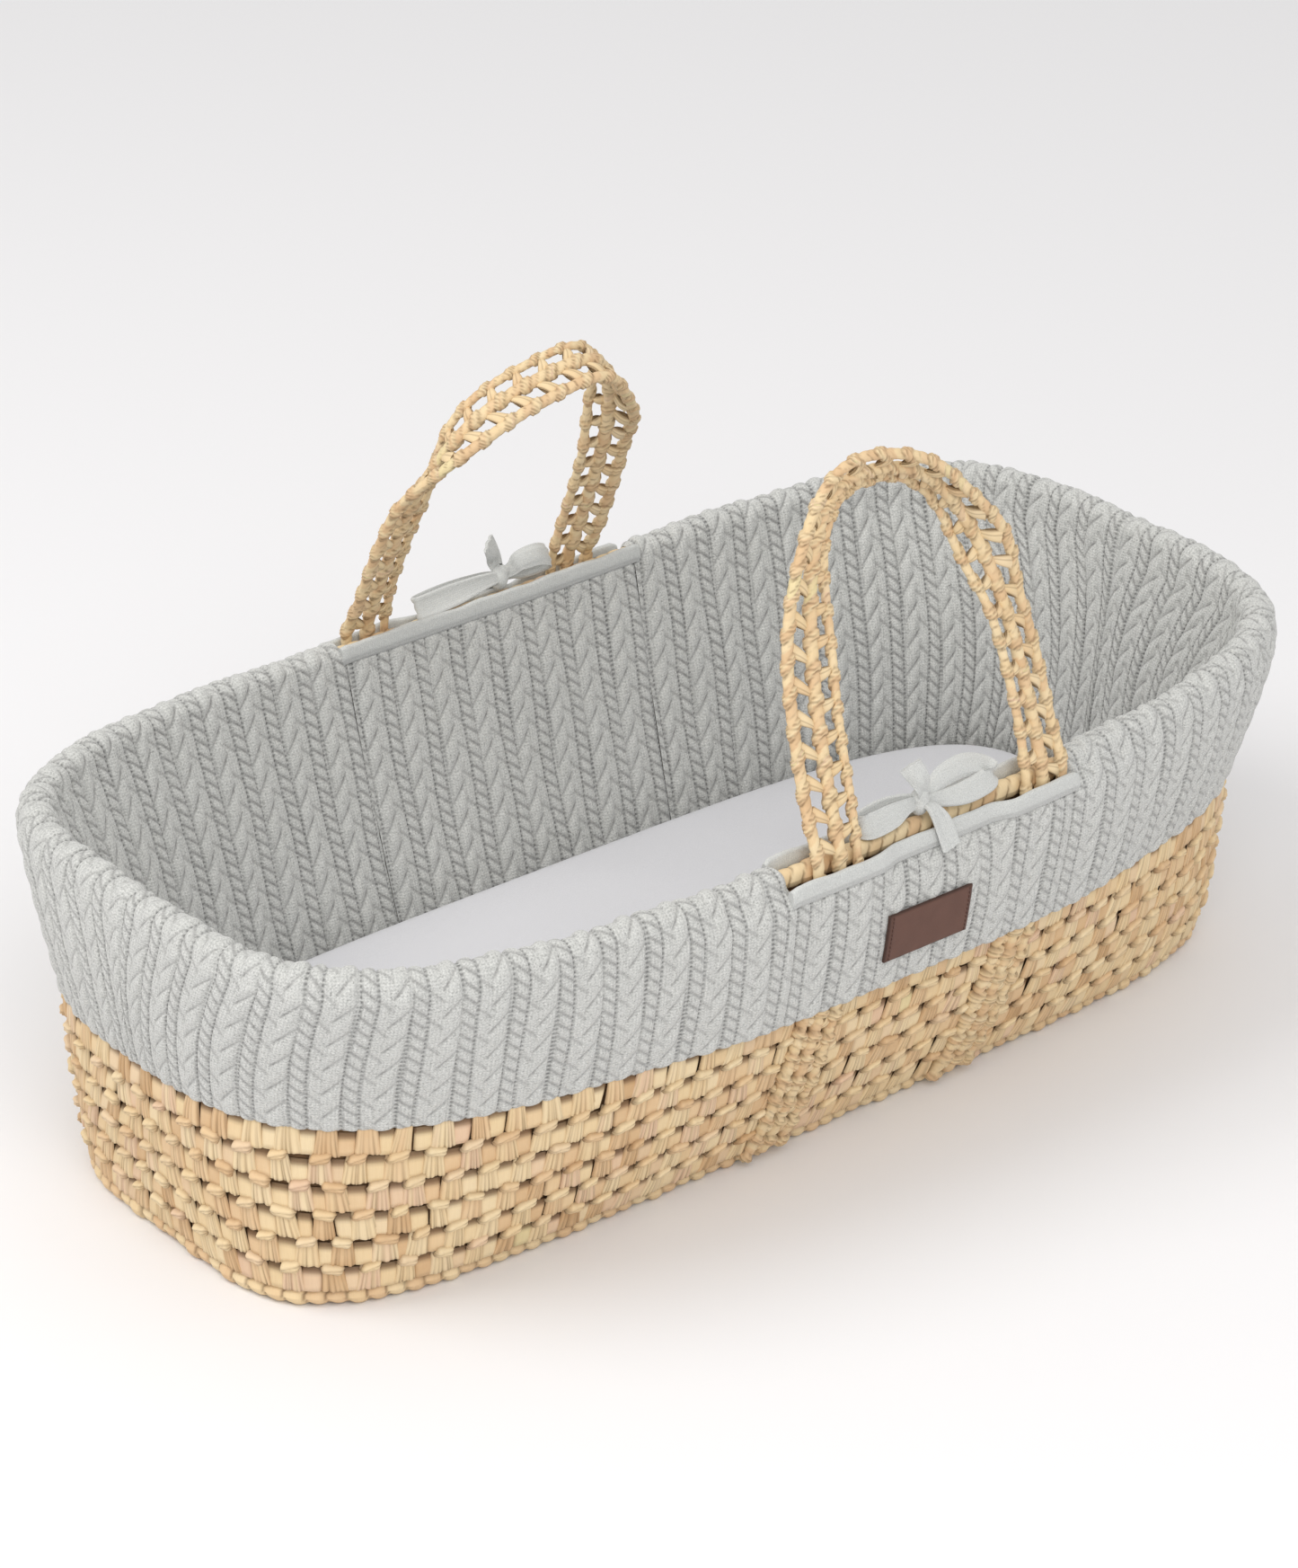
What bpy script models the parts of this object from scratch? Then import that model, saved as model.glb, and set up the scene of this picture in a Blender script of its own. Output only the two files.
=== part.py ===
"""Moses basket: a palm-leaf basket with two carry handles, a knitted liner and a mattress.

Metres, +Z up. The basket stands on z = 0 with its length along X, and the side that carries
the leather label faces -Y. Every ring-shaped piece is lofted over the same stations round the
basket, so that neighbouring pieces stay parallel to each other.
"""

import math

import bmesh
import bpy
from mathutils import Matrix, Vector

# The woven wall: half sizes of its outer face, and how square its outline is. The corners are
# squarest at the base and roundest halfway up.
BASE_HALF_LENGTH = 0.392
BASE_HALF_WIDTH = 0.148
RIM_HALF_LENGTH = 0.417
RIM_HALF_WIDTH = 0.215
BASE_SQUARENESS = 5.0
RIM_SQUARENESS = 3.9
MIDDLE_SOFTENING = 1.3
RIM_HEIGHT = 0.2325  # centre of the rim coil in the middle of the basket
RIM_END_RISE = 0.012  # how much higher both ends are
RIM_HEAD_RISE = 0.005  # how much higher the +X end is than the middle, on top of that
WALL_THICKNESS = 0.009
WALL_LEVELS = (0.0, 0.12, 0.26, 0.42, 0.6, 0.8, 1.0)

GAP = 0.0003  # between pieces that touch
BASE_THICKNESS = 0.012
BASE_COIL_HEIGHT = 0.0125
BASE_COIL_WIDTH = 0.012
BASE_COIL_CHAMFER = 0.003
RIM_COIL_RADIUS = 0.0065

# The carry straps and the handles that they turn into.
STRAP_WIDTH = 0.034
STRAP_THICKNESS = 0.008
BASE_STRAP_THICKNESS = 0.005
STRAP_CHAMFER = 0.0018
STRAP_BASE_X = (-0.056, 0.103)
STRAP_SIDE_GAP = 0.0005
HANDLE_HALF_SPAN = 0.0845
HANDLE_HEIGHT = {"front": 0.219, "back": 0.207}
HANDLE_ROUNDNESS = {"front": 2.6, "back": 3.0}
HANDLE_CENTRE_X = {"front": 0.034, "back": 0.006}
HANDLE_LEAN = {"front": math.radians(18), "back": math.radians(26)}
HANDLE_SWAY = {"front": 0.0, "back": -0.045}  # sideways lean, per unit of height
HANDLE_SKEW = {"front": -0.05, "back": 0.13}  # how much higher the +X shoulder is
HANDLE_STATIONS = 26
TWIST_START, TWIST_END = 0.11, 0.20  # heights up the handle between which it turns flat
CORD_THICKNESS = {"outer": 0.0082, "middle": 0.009, "inner": 0.0082}
CORD_WIDTH = {"outer": 0.0112, "middle": 0.0128, "inner": 0.0112}
HINGE_OFFSET = STRAP_SIDE_GAP + STRAP_THICKNESS / 2  # outside the wall's face
HINGE_Z = RIM_HEIGHT + RIM_COIL_RADIUS + STRAP_SIDE_GAP
HINGE_ROOM = 0.0052  # a strap ends this far below its handle's axis

# The knitted liner: an outer skirt, the roll over the rim, and an inner wall.
LINER_THICKNESS = 0.004
HEM_HEIGHT = 0.1355
HEM_BAND_HEIGHT = 0.0065
LINER_SIDE_OFFSET = 0.0116  # the skirt's middle where it passes over the straps
LINER_END_OFFSET = 0.0036  # and where it lies on the wall at the ends
LINER_BULGE = 0.003
LINER_PULL_IN = 0.012  # how far the taut inner wall stands off the basket's wall
LINER_EASE = 0.12  # length over which the skirt moves from the side to the end offset
LINER_STEP_OUT = 0.012  # height below the rim over which the skirt moves out over the straps
LINER_FLAP = 0.036  # how far it runs in under the mattress
LINER_FOLD = 0.012  # height over which it turns in from the wall to the floor
ROLL_ROOM = (0.006, 0.010)  # length left for the bend between the roll and the skirt, and the wall
SLOT_ENDS = {"front": (-0.090, 0.139), "back": (-0.110, 0.134)}
BINDING_WIDTH = 0.0125
BINDING_THICKNESS = 0.0044
BINDING_TOP = {"outer": 0.001, "inner": 0.012}  # above the rim coil's centre
BINDING_CHAMFER = 0.0015

# The bows, the label and the mattress.
BOW_SPAN = {"front": (-0.022, 0.078), "back": (-0.045, 0.060)}
BOW_KNOT_X = {"front": 0.023, "back": 0.026}
BOW_RISE = 0.0108  # the loops' middle, above the rim's top
# A loop from the knot outwards: share of its length, half depth and half height.
BOW_LOOP = (
    (0.0, 0.006, 0.008),
    (0.12, 0.006, 0.007),
    (0.3, 0.007, 0.006),
    (0.6, 0.009, 0.008),
    (0.88, 0.008, 0.0075),
    (1.0, 0.004, 0.004),
)
LABEL_SIZE = (0.068, 0.0025, 0.034)
LABEL_CENTRE = (0.018, 0.174)
MATTRESS_HALF_LENGTH = 0.373
MATTRESS_HALF_WIDTH = 0.138
MATTRESS_SQUARENESS = 4.0
MATTRESS_TOP = 0.072
MATTRESS_BOTTOM = 0.0177
SHEET_THICKNESS = 0.0012
SHEET_HEM = 0.040
ELASTIC_WIDTH = 0.005

END_STEPS = 20
SIDE_STEPS = 4
SEAM_GAP_ANGLE = 0.0006

COLOURS = {
    "palm": ((0.80, 0.62, 0.36), 0.75),
    "knit": ((0.56, 0.57, 0.55), 0.95),
    "jersey": ((0.60, 0.61, 0.59), 0.95),
    "leather": ((0.11, 0.045, 0.03), 0.6),
    "foam": ((0.85, 0.82, 0.72), 0.9),
    "sheet": ((0.62, 0.62, 0.64), 0.9),
    "elastic": ((0.8, 0.8, 0.8), 0.8),
}


def clear_scene():
    for item in list(bpy.data.objects):
        bpy.data.objects.remove(item, do_unlink=True)


def material_for(name, kind):
    colour, roughness = COLOURS[kind]
    made = bpy.data.materials.new(name)
    made.use_nodes = True
    shader = made.node_tree.nodes["Principled BSDF"]
    shader.inputs["Base Color"].default_value = (*colour, 1.0)
    shader.inputs["Roughness"].default_value = roughness
    return made


def add_object(name, kind, mesh_builder, origin=(0, 0, 0)):
    """Makes one named object from a bmesh given in world coordinates, with its origin where asked."""
    bmesh.ops.recalc_face_normals(mesh_builder, faces=mesh_builder.faces)
    bmesh.ops.translate(mesh_builder, vec=-Vector(origin), verts=mesh_builder.verts)
    mesh = bpy.data.meshes.new(name)
    mesh_builder.to_mesh(mesh)
    mesh_builder.free()
    mesh.shade_smooth()
    mesh.set_sharp_from_angle(angle=math.radians(40))
    mesh.materials.append(material_for(name, kind))
    made = bpy.data.objects.new(name, mesh)
    made.location = origin
    bpy.context.scene.collection.objects.link(made)
    return made


def cap(mesh_builder, row):
    """Closes an open end with a strip of faces, from the section's first half to its second."""
    last = len(row) - 1
    for i in range(len(row) // 2 - 1):
        mesh_builder.faces.new((row[i], row[i + 1], row[last - i - 1], row[last - i]))


def loft(sections, ring):
    """A closed body through sections of the same even length: joined in a ring, or capped."""
    made = bmesh.new()
    rows = [[made.verts.new(point) for point in section] for section in sections]
    pairs = list(zip(rows, rows[1:]))
    if ring:
        pairs.append((rows[-1], rows[0]))
    for row, following in pairs:
        for i in range(len(row)):
            j = (i + 1) % len(row)
            made.faces.new((row[i], row[j], following[j], following[i]))
    if not ring:
        cap(made, rows[0])
        cap(made, rows[-1])
    return made


# Round the basket


def superellipse(angle, half_length, half_width, squareness, spacing=None):
    """A point of the outline at this angle, and the outline's outward normal there.

    Outlines with the same spacing have the same share of their half length at the same angle,
    so that a seam runs straight up through outlines of different squareness.
    """
    along = abs(math.cos(angle)) ** (2 / (spacing or squareness))
    aside = max(1 - along**squareness, 0) ** (1 / squareness)
    x = math.copysign(along * half_length, math.cos(angle))
    y = math.copysign(aside * half_width, math.sin(angle))
    slope_x = math.copysign(along ** (squareness - 1) / half_length, x)
    slope_y = math.copysign(aside ** (squareness - 1) / half_width, y)
    return Vector((x, y)), Vector((slope_x, slope_y)).normalized()


def between(low, high, fraction):
    return low + (high - low) * fraction


def eased(fraction):
    fraction = min(max(fraction, 0), 1)
    return fraction * fraction * (3 - 2 * fraction)


def flare_at(height):
    """How far the wall has spread from its base size (0) to its rim size (1)."""
    climb = min(max(height / RIM_HEIGHT, 0), 1)
    return 1 - (1 - climb) ** 2


def wall_half_length(height):
    return between(BASE_HALF_LENGTH, RIM_HALF_LENGTH, flare_at(height))


def wall_point(angle, height, offset=0.0):
    """The wall's outer face at this angle and height, moved outwards by offset."""
    climb = min(max(height / RIM_HEIGHT, 0), 1)
    flare = flare_at(height)
    outline, normal = superellipse(
        angle,
        wall_half_length(height),
        between(BASE_HALF_WIDTH, RIM_HALF_WIDTH, flare),
        between(BASE_SQUARENESS, RIM_SQUARENESS, climb) - MIDDLE_SOFTENING * 4 * climb * (1 - climb),
        RIM_SQUARENESS,
    )
    place = outline + normal * offset
    return Vector((place.x, place.y, height))


def rim_height(angle):
    """The height of the rim coil's centre: it rises a little towards both ends."""
    along = wall_point(angle, RIM_HEIGHT).x / RIM_HALF_LENGTH
    return RIM_HEIGHT + RIM_END_RISE * along**2 + RIM_HEAD_RISE * along


def angle_at(side, x, height=RIM_HEIGHT):
    """The angle at which the wall passes x at this height, on the front or the back."""
    reach = (abs(x) / wall_half_length(height)) ** (RIM_SQUARENESS / 2)
    angle = math.acos(math.copysign(reach, x))
    return -angle if side == "front" else angle


def spread(start, end, steps):
    return [between(start, end, step / steps) for step in range(steps + 1)]


def panel_angles(part):
    """The stations of one panel of the liner, going round anticlockwise as seen from above."""
    front_left, front_right = (angle_at("front", x) for x in SLOT_ENDS["front"])
    back_left, back_right = (angle_at("back", x) for x in SLOT_ENDS["back"])
    ends = {
        "front": (front_left, front_right, SIDE_STEPS),
        "right_end": (front_right, back_right, END_STEPS),
        "back": (back_right, back_left, SIDE_STEPS),
        "left_end": (back_left, front_left + 2 * math.pi, END_STEPS),
    }
    start, end, steps = ends[part]
    return spread(start + SEAM_GAP_ANGLE, end - SEAM_GAP_ANGLE, steps)


def ring_angles():
    return [angle for part in ("front", "right_end", "back", "left_end") for angle in panel_angles(part)]


def side_panel_share(angle):
    """1 beside the handle slots, easing to 0 towards the ends of the basket."""
    place = wall_point(angle, RIM_HEIGHT)
    low, high = SLOT_ENDS["front" if place.y < 0 else "back"]
    beyond = max(low - place.x, place.x - high, 0)
    return 1 - eased(beyond / LINER_EASE)


# The woven basket


def base_ring(inset, height):
    return [
        wall_point(angle, 0, -inset) + Vector((0, 0, height))
        for angle in ring_angles()
    ]


def strap_groove_cutter(name, x):
    """A block that clears the strap's way under the base."""
    bpy.ops.mesh.primitive_cube_add(size=1, location=(x, 0, 0))
    cutter = bpy.context.object
    cutter.name = name
    depth = BASE_STRAP_THICKNESS + 2 * GAP
    cutter.data.transform(Matrix.Diagonal((STRAP_WIDTH + 4 * GAP, 1, 2 * depth, 1)))
    cutter.hide_render = True
    cutter.display_type = "WIRE"
    return cutter


def cut_grooves(target, cutters):
    for cutter in cutters:
        cut = target.modifiers.new(cutter.name, "BOOLEAN")
        cut.object = cutter
        cut.operation = "DIFFERENCE"
        cut.solver = "EXACT"


def make_base(cutters):
    inset = BASE_COIL_WIDTH + GAP
    mat = loft([base_ring(inset, 0), base_ring(inset, BASE_THICKNESS)], ring=False)
    cut_grooves(add_object("base_mat", "palm", mat), cutters)
    profile = (
        (0, BASE_COIL_CHAMFER),
        (0, BASE_COIL_HEIGHT - BASE_COIL_CHAMFER),
        (BASE_COIL_CHAMFER, BASE_COIL_HEIGHT),
        (BASE_COIL_WIDTH, BASE_COIL_HEIGHT),
        (BASE_COIL_WIDTH, 0),
        (BASE_COIL_CHAMFER, 0),
    )
    sections = [
        [wall_point(angle, 0, -inset) + Vector((0, 0, z)) for inset, z in profile]
        for angle in ring_angles()
    ]
    cut_grooves(add_object("base_edge_coil", "palm", loft(sections, ring=True)), cutters)


def wall_heights(angle):
    bottom = BASE_COIL_HEIGHT + GAP
    top = rim_height(angle) - RIM_COIL_RADIUS - 2 * GAP
    return [between(bottom, top, level) for level in WALL_LEVELS]


def make_wall():
    sections = []
    for angle in ring_angles():
        heights = wall_heights(angle)
        outside = [wall_point(angle, z) for z in heights]
        inside = [wall_point(angle, z, -WALL_THICKNESS) for z in reversed(heights)]
        sections.append(outside + inside)
    add_object("palm_wall", "palm", loft(sections, ring=True))


def make_rim_coil():
    sides = 8
    sections = []
    for angle in ring_angles():
        section = []
        for step in range(sides):
            turn = 2 * math.pi * step / sides
            offset = RIM_COIL_RADIUS * (math.cos(turn) - 1)
            point = wall_point(angle, RIM_HEIGHT, offset)
            point.z = rim_height(angle) + RIM_COIL_RADIUS * math.sin(turn)
            section.append(point)
        sections.append(section)
    add_object("rim_coil", "palm", loft(sections, ring=True))


# The straps and handles


def chamfered_box_section(width, near, far, chamfer):
    """A strap's cross-section: (across, out) pairs, with its outer edges taken off."""
    half = width / 2
    return (
        (-half, near),
        (half, near),
        (half, far - chamfer),
        (half - chamfer, far),
        (-half + chamfer, far),
        (-half, far - chamfer),
    )


def leg_x(side, end):
    """Where a handle's leg leaves the rim: end 0 is the -X leg, 1 the +X leg."""
    return HANDLE_CENTRE_X[side] + HANDLE_HALF_SPAN * (2 * end - 1)


def make_wall_strap(side, end):
    far = STRAP_SIDE_GAP + STRAP_THICKNESS
    section = chamfered_box_section(STRAP_WIDTH, STRAP_SIDE_GAP, far, STRAP_CHAMFER)
    heights = [GAP] + wall_heights(angle_at(side, leg_x(side, end))) + [HINGE_Z - HINGE_ROOM]
    rows = []
    for z in heights:
        x = between(STRAP_BASE_X[end], leg_x(side, end), z / HINGE_Z)
        rows.append([wall_point(angle_at(side, x + across, z), z, out) for across, out in section])
    name = f"{side}_{('left', 'right')[end]}_wall_strap"
    add_object(name, "palm", loft(rows, ring=False))


def make_base_strap(end):
    half_run = BASE_HALF_WIDTH - GAP
    section = chamfered_box_section(STRAP_WIDTH, 0, BASE_STRAP_THICKNESS, STRAP_CHAMFER)
    rows = [
        [Vector((STRAP_BASE_X[end] + x, y, BASE_STRAP_THICKNESS - down)) for x, down in section]
        for y in spread(-half_run, half_run, 2)
    ]
    add_object(f"{('left', 'right')[end]}_base_strap", "palm", loft(rows, ring=False))


def arch_point(side, turn):
    """The handle's centre line in its own plane, x along the rim and y up the handle."""
    turn = min(max(turn, 0), math.pi)
    height = HANDLE_HEIGHT[side]
    arch, _ = superellipse(math.pi - turn, HANDLE_HALF_SPAN, height, HANDLE_ROUNDNESS[side])
    tilt = 1 + HANDLE_SKEW[side] * arch.x / HANDLE_HALF_SPAN * arch.y / height
    return Vector((arch.x + HANDLE_SWAY[side] * arch.y, arch.y * tilt))


def handle_frame(side, turn):
    """The handle's centre line at this turn (0 to pi), and its two section directions."""
    toward = 1 if side == "front" else -1
    lean = HANDLE_LEAN[side]
    inwards = Vector((0, toward, 0))
    up = Vector((0, toward * math.sin(lean), math.cos(lean)))
    through = Vector((0, toward * math.cos(lean), -math.sin(lean)))
    hinge = Vector((HANDLE_CENTRE_X[side], 0, HINGE_Z)) - inwards * (RIM_HALF_WIDTH + HINGE_OFFSET)
    arch = arch_point(side, turn)
    step = 0.01
    run = (arch_point(side, turn + step) - arch_point(side, turn - step)).normalized()
    tangent = Vector((run.x, 0, 0)) + up * run.y
    outwards = Vector((-run.y, 0, 0)) + up * run.x
    twist = math.pi / 2 * eased((arch.y - TWIST_START) / (TWIST_END - TWIST_START))
    across = outwards * math.cos(twist) + through * math.sin(twist)
    centre = hinge + Vector((arch.x, 0, 0)) + up * arch.y
    return centre, across, tangent.cross(across)


def handle_turns(side):
    """Turns spaced evenly along the arch, so that the cords bend smoothly."""
    fine = 400
    points = [arch_point(side, math.pi * i / fine) for i in range(fine + 1)]
    run = [0.0]
    for here, following in zip(points, points[1:]):
        run.append(run[-1] + (following - here).length)
    turns = []
    i = 0
    for station in range(HANDLE_STATIONS + 1):
        wanted = run[-1] * station / HANDLE_STATIONS
        while i < fine - 1 and run[i + 1] < wanted:
            i += 1
        part = (wanted - run[i]) / (run[i + 1] - run[i])
        turns.append(math.pi * (i + min(part, 1)) / fine)
    return turns


def make_handle(side):
    """Three cords side by side, in the order outer, middle, inner, which twist flat at the top."""
    sides = 8
    reach = (CORD_WIDTH["middle"] + CORD_WIDTH["outer"]) / 2 + 2 * GAP
    toward = -1 if side == "front" else 1
    hinge = (HANDLE_CENTRE_X[side], toward * (RIM_HALF_WIDTH + HINGE_OFFSET), HINGE_Z)
    pivot = bpy.data.objects.new(f"{side}_handle_pivot", None)
    pivot.location = hinge
    bpy.context.scene.collection.objects.link(pivot)
    for cord, place in (("outer", reach), ("middle", 0), ("inner", -reach)):
        rows = []
        for turn in handle_turns(side):
            centre, across, out = handle_frame(side, turn)
            row = []
            for step in range(sides):
                swing = 2 * math.pi * (step + 0.5) / sides
                row.append(
                    centre
                    + across * (place + CORD_WIDTH[cord] / 2 * math.cos(swing))
                    + out * (CORD_THICKNESS[cord] / 2 * math.sin(swing))
                )
            rows.append(row)
        made = add_object(f"{side}_handle_{cord}_cord", "palm", loft(rows, ring=False), hinge)
        made.parent = pivot
        made.location = (0, 0, 0)


# The liner


def skirt_offset(angle, height):
    """How far out the skirt's middle is: over the straps at the sides, close at the ends."""
    top = rim_height(angle)
    drop = (top - height) / (top - HEM_HEIGHT)
    at_end = LINER_END_OFFSET + LINER_BULGE * math.sin(math.pi * min(max(drop, 0), 1))
    moved_out = eased((top - height) / LINER_STEP_OUT)
    return between(at_end, between(at_end, LINER_SIDE_OFFSET, moved_out), side_panel_share(angle))


def inner_offset(angle, height):
    """How far in the middle of the inner wall's cloth is: it hangs taut between rim and floor."""
    top = rim_height(angle)
    climb = min(max(height / top, 0), 1)
    at_rim = 2 * RIM_COIL_RADIUS + LINER_THICKNESS / 2 + 2 * GAP
    return -at_rim - LINER_PULL_IN * 4 * climb * (1 - climb)


def skirt_path(angle, top):
    heights = spread(HEM_HEIGHT, top, 4)
    return [(skirt_offset(angle, z), z) for z in heights]


def roll_path(angle):
    """Over the rim coil, from outside to inside."""
    radius = RIM_COIL_RADIUS + LINER_THICKNESS / 2 + 2 * GAP
    steps = 6
    return [
        (
            -RIM_COIL_RADIUS + radius * math.cos(math.pi * step / steps),
            rim_height(angle) + radius * math.sin(math.pi * step / steps),
        )
        for step in range(steps + 1)
    ]


def inner_path(angle, top):
    floor = BASE_COIL_HEIGHT + GAP + LINER_THICKNESS / 2
    path = [(inner_offset(angle, z), z) for z in spread(top, floor + LINER_FOLD, 5)]
    foot = inner_offset(angle, 0)
    path.append((foot, floor + LINER_THICKNESS))
    path.append((foot - 0.001, floor))
    path.append((foot - LINER_FLAP, floor))
    return path


def cloth_section(angle, path):
    """The cloth's cross-section: the path thickened to both sides."""
    outer, inner = [], []
    for i, (offset, z) in enumerate(path):
        before = path[max(i - 1, 0)]
        after = path[min(i + 1, len(path) - 1)]
        run = Vector((after[0] - before[0], after[1] - before[1])).normalized()
        lift = Vector((run.y, -run.x)) * (LINER_THICKNESS / 2)
        outer.append(cloth_point(angle, offset + lift.x, z + lift.y))
        inner.append(cloth_point(angle, offset - lift.x, z - lift.y))
    return outer + list(reversed(inner))


def cloth_point(angle, offset, height):
    point = wall_point(angle, height, offset)
    point.z = height
    return point


def make_panel(name, part, path_at):
    sections = [cloth_section(angle, path_at(angle)) for angle in panel_angles(part)]
    add_object(name, "knit", loft(sections, ring=False))


def end_panel_path(angle):
    roll = roll_path(angle)
    outer_room, inner_room = ROLL_ROOM
    outside = skirt_path(angle, roll[0][1] - outer_room)
    return outside + roll + inner_path(angle, roll[-1][1] - inner_room)


def binding_edge(angle, layer):
    """The height at which the cloth stops and its binding starts."""
    return rim_height(angle) + BINDING_TOP[layer] - BINDING_WIDTH


def make_side_panels(side):
    make_panel(
        f"liner_{side}_skirt_panel",
        side,
        lambda angle: skirt_path(angle, binding_edge(angle, "outer") - 4 * GAP),
    )
    make_panel(
        f"liner_{side}_inner_panel",
        side,
        lambda angle: inner_path(angle, binding_edge(angle, "inner") - 4 * GAP),
    )


def make_binding(side, layer):
    offset_at = skirt_offset if layer == "outer" else inner_offset
    half = BINDING_THICKNESS / 2
    sections = []
    for angle in panel_angles(side):
        low = binding_edge(angle, layer)
        high = low + BINDING_WIDTH
        middle = offset_at(angle, low - 4 * GAP)
        profile = (
            (half, low),
            (half, high - BINDING_CHAMFER),
            (half - BINDING_CHAMFER, high),
            (BINDING_CHAMFER - half, high),
            (-half, high - BINDING_CHAMFER),
            (-half, low),
        )
        sections.append([cloth_point(angle, middle + out, z) for out, z in profile])
    add_object(f"liner_{side}_{layer}_binding", "jersey", loft(sections, ring=False))


def make_hem_elastic():
    half = LINER_THICKNESS / 2
    high = HEM_HEIGHT - GAP
    low = high - HEM_BAND_HEIGHT
    sections = []
    for angle in ring_angles():
        middle = skirt_offset(angle, HEM_HEIGHT)
        corners = [(half, low), (half, high), (-half, high), (-half, low)]
        sections.append([cloth_point(angle, middle + out, z) for out, z in corners])
    add_object("skirt_hem_elastic", "jersey", loft(sections, ring=True))


def make_tie(side, layer):
    """Half of a bow: one looped strip, from the knot out to the end of its loop."""
    toward = -1 if side == "front" else 1
    low, high = BOW_SPAN[side]
    knot = BOW_KNOT_X[side]
    start, end = (knot - GAP, low) if layer == "inner" else (knot + GAP, high)
    middle = Vector((0, toward * (RIM_HALF_WIDTH - RIM_COIL_RADIUS), HINGE_Z + BOW_RISE))
    sides = 8
    rows = []
    for share, half_depth, half_height in BOW_LOOP:
        out = Vector((between(start, end, share), 0, 0))
        row = []
        for step in range(sides):
            swing = 2 * math.pi * step / sides
            lift = Vector((0, half_depth * math.cos(swing), half_height * math.sin(swing)))
            row.append(middle + out + lift)
        rows.append(row)
    add_object(f"{side}_{layer}_tie", "jersey", loft(rows, ring=False))


def make_label():
    """A plain leather patch, bent back with the skirt that it is sewn to."""
    width, thickness, height = LABEL_SIZE
    x, z = LABEL_CENTRE
    middle = angle_at("front", x)
    rows = []
    for level in spread(z - height / 2, z + height / 2, 2):
        face = wall_point(middle, level, skirt_offset(middle, level) + LINER_THICKNESS / 2 + 2 * GAP).y
        rows.append(
            [
                Vector((x - width / 2, face, level)),
                Vector((x + width / 2, face, level)),
                Vector((x + width / 2, face - thickness, level)),
                Vector((x - width / 2, face - thickness, level)),
            ]
        )
    add_object("leather_label", "leather", loft(rows, ring=False))


# The mattress


def mattress_ring(inset, height):
    ring = []
    for angle in ring_angles():
        place, normal = superellipse(
            angle, MATTRESS_HALF_LENGTH, MATTRESS_HALF_WIDTH, MATTRESS_SQUARENESS
        )
        place = place - normal * inset
        ring.append(Vector((place.x, place.y, height)))
    return ring


def pad_profile(inset, round_top=0.008, round_bottom=0.006):
    """(inset, height) from the top's flat face down and under the pad's edge."""
    top = MATTRESS_TOP - inset
    bottom = MATTRESS_BOTTOM + inset
    return [
        (inset + round_top, top),
        (inset + round_top * 0.3, top - round_top * 0.3),
        (inset, top - round_top),
        (inset, bottom + round_bottom),
        (inset + round_bottom, bottom),
    ]


def make_mattress():
    core_inset = SHEET_THICKNESS + GAP
    core = loft([mattress_ring(*place) for place in pad_profile(core_inset)], ring=False)
    add_object("mattress_core", "foam", core)
    outside = pad_profile(0) + [(SHEET_HEM, MATTRESS_BOTTOM)]
    inside = pad_profile(SHEET_THICKNESS) + [(SHEET_HEM, MATTRESS_BOTTOM + SHEET_THICKNESS)]
    sheet = loft([mattress_ring(*place) for place in outside + inside[::-1]], ring=False)
    add_object("mattress_sheet", "sheet", sheet)
    rings = [
        mattress_ring(SHEET_HEM + GAP, MATTRESS_BOTTOM),
        mattress_ring(SHEET_HEM + GAP, MATTRESS_BOTTOM + SHEET_THICKNESS),
        mattress_ring(SHEET_HEM + ELASTIC_WIDTH, MATTRESS_BOTTOM + SHEET_THICKNESS),
        mattress_ring(SHEET_HEM + ELASTIC_WIDTH, MATTRESS_BOTTOM),
    ]
    sections = [list(corners) for corners in zip(*rings)]
    add_object("sheet_elastic", "elastic", loft(sections, ring=True))


def main():
    clear_scene()
    cutters = [strap_groove_cutter(f"groove_cutter_{end}", x) for end, x in enumerate(STRAP_BASE_X)]
    make_base(cutters)
    make_wall()
    make_rim_coil()
    for end in (0, 1):
        make_base_strap(end)
    for side in ("front", "back"):
        for end in (0, 1):
            make_wall_strap(side, end)
        make_handle(side)
        make_side_panels(side)
        for layer in ("outer", "inner"):
            make_binding(side, layer)
            make_tie(side, layer)
    make_panel("liner_left_end_panel", "left_end", end_panel_path)
    make_panel("liner_right_end_panel", "right_end", end_panel_path)
    make_hem_elastic()
    make_label()
    make_mattress()


main()
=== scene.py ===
import math

import bmesh
import bpy
import numpy as np
from mathutils import Matrix, Vector


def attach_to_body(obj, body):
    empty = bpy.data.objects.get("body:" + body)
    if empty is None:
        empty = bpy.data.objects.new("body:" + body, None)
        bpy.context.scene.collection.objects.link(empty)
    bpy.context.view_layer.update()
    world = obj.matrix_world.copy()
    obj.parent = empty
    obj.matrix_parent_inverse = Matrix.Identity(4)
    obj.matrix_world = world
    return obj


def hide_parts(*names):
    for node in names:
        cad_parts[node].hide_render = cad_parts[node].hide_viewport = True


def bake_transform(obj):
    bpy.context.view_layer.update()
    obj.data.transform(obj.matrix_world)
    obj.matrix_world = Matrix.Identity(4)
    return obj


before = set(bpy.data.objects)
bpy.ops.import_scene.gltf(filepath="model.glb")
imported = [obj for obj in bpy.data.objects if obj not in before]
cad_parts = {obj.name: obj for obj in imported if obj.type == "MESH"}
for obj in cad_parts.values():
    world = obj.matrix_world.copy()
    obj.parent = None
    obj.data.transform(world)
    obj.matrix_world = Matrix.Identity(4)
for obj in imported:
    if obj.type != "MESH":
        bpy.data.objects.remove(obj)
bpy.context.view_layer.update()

TAU = 2 * math.pi
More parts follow.
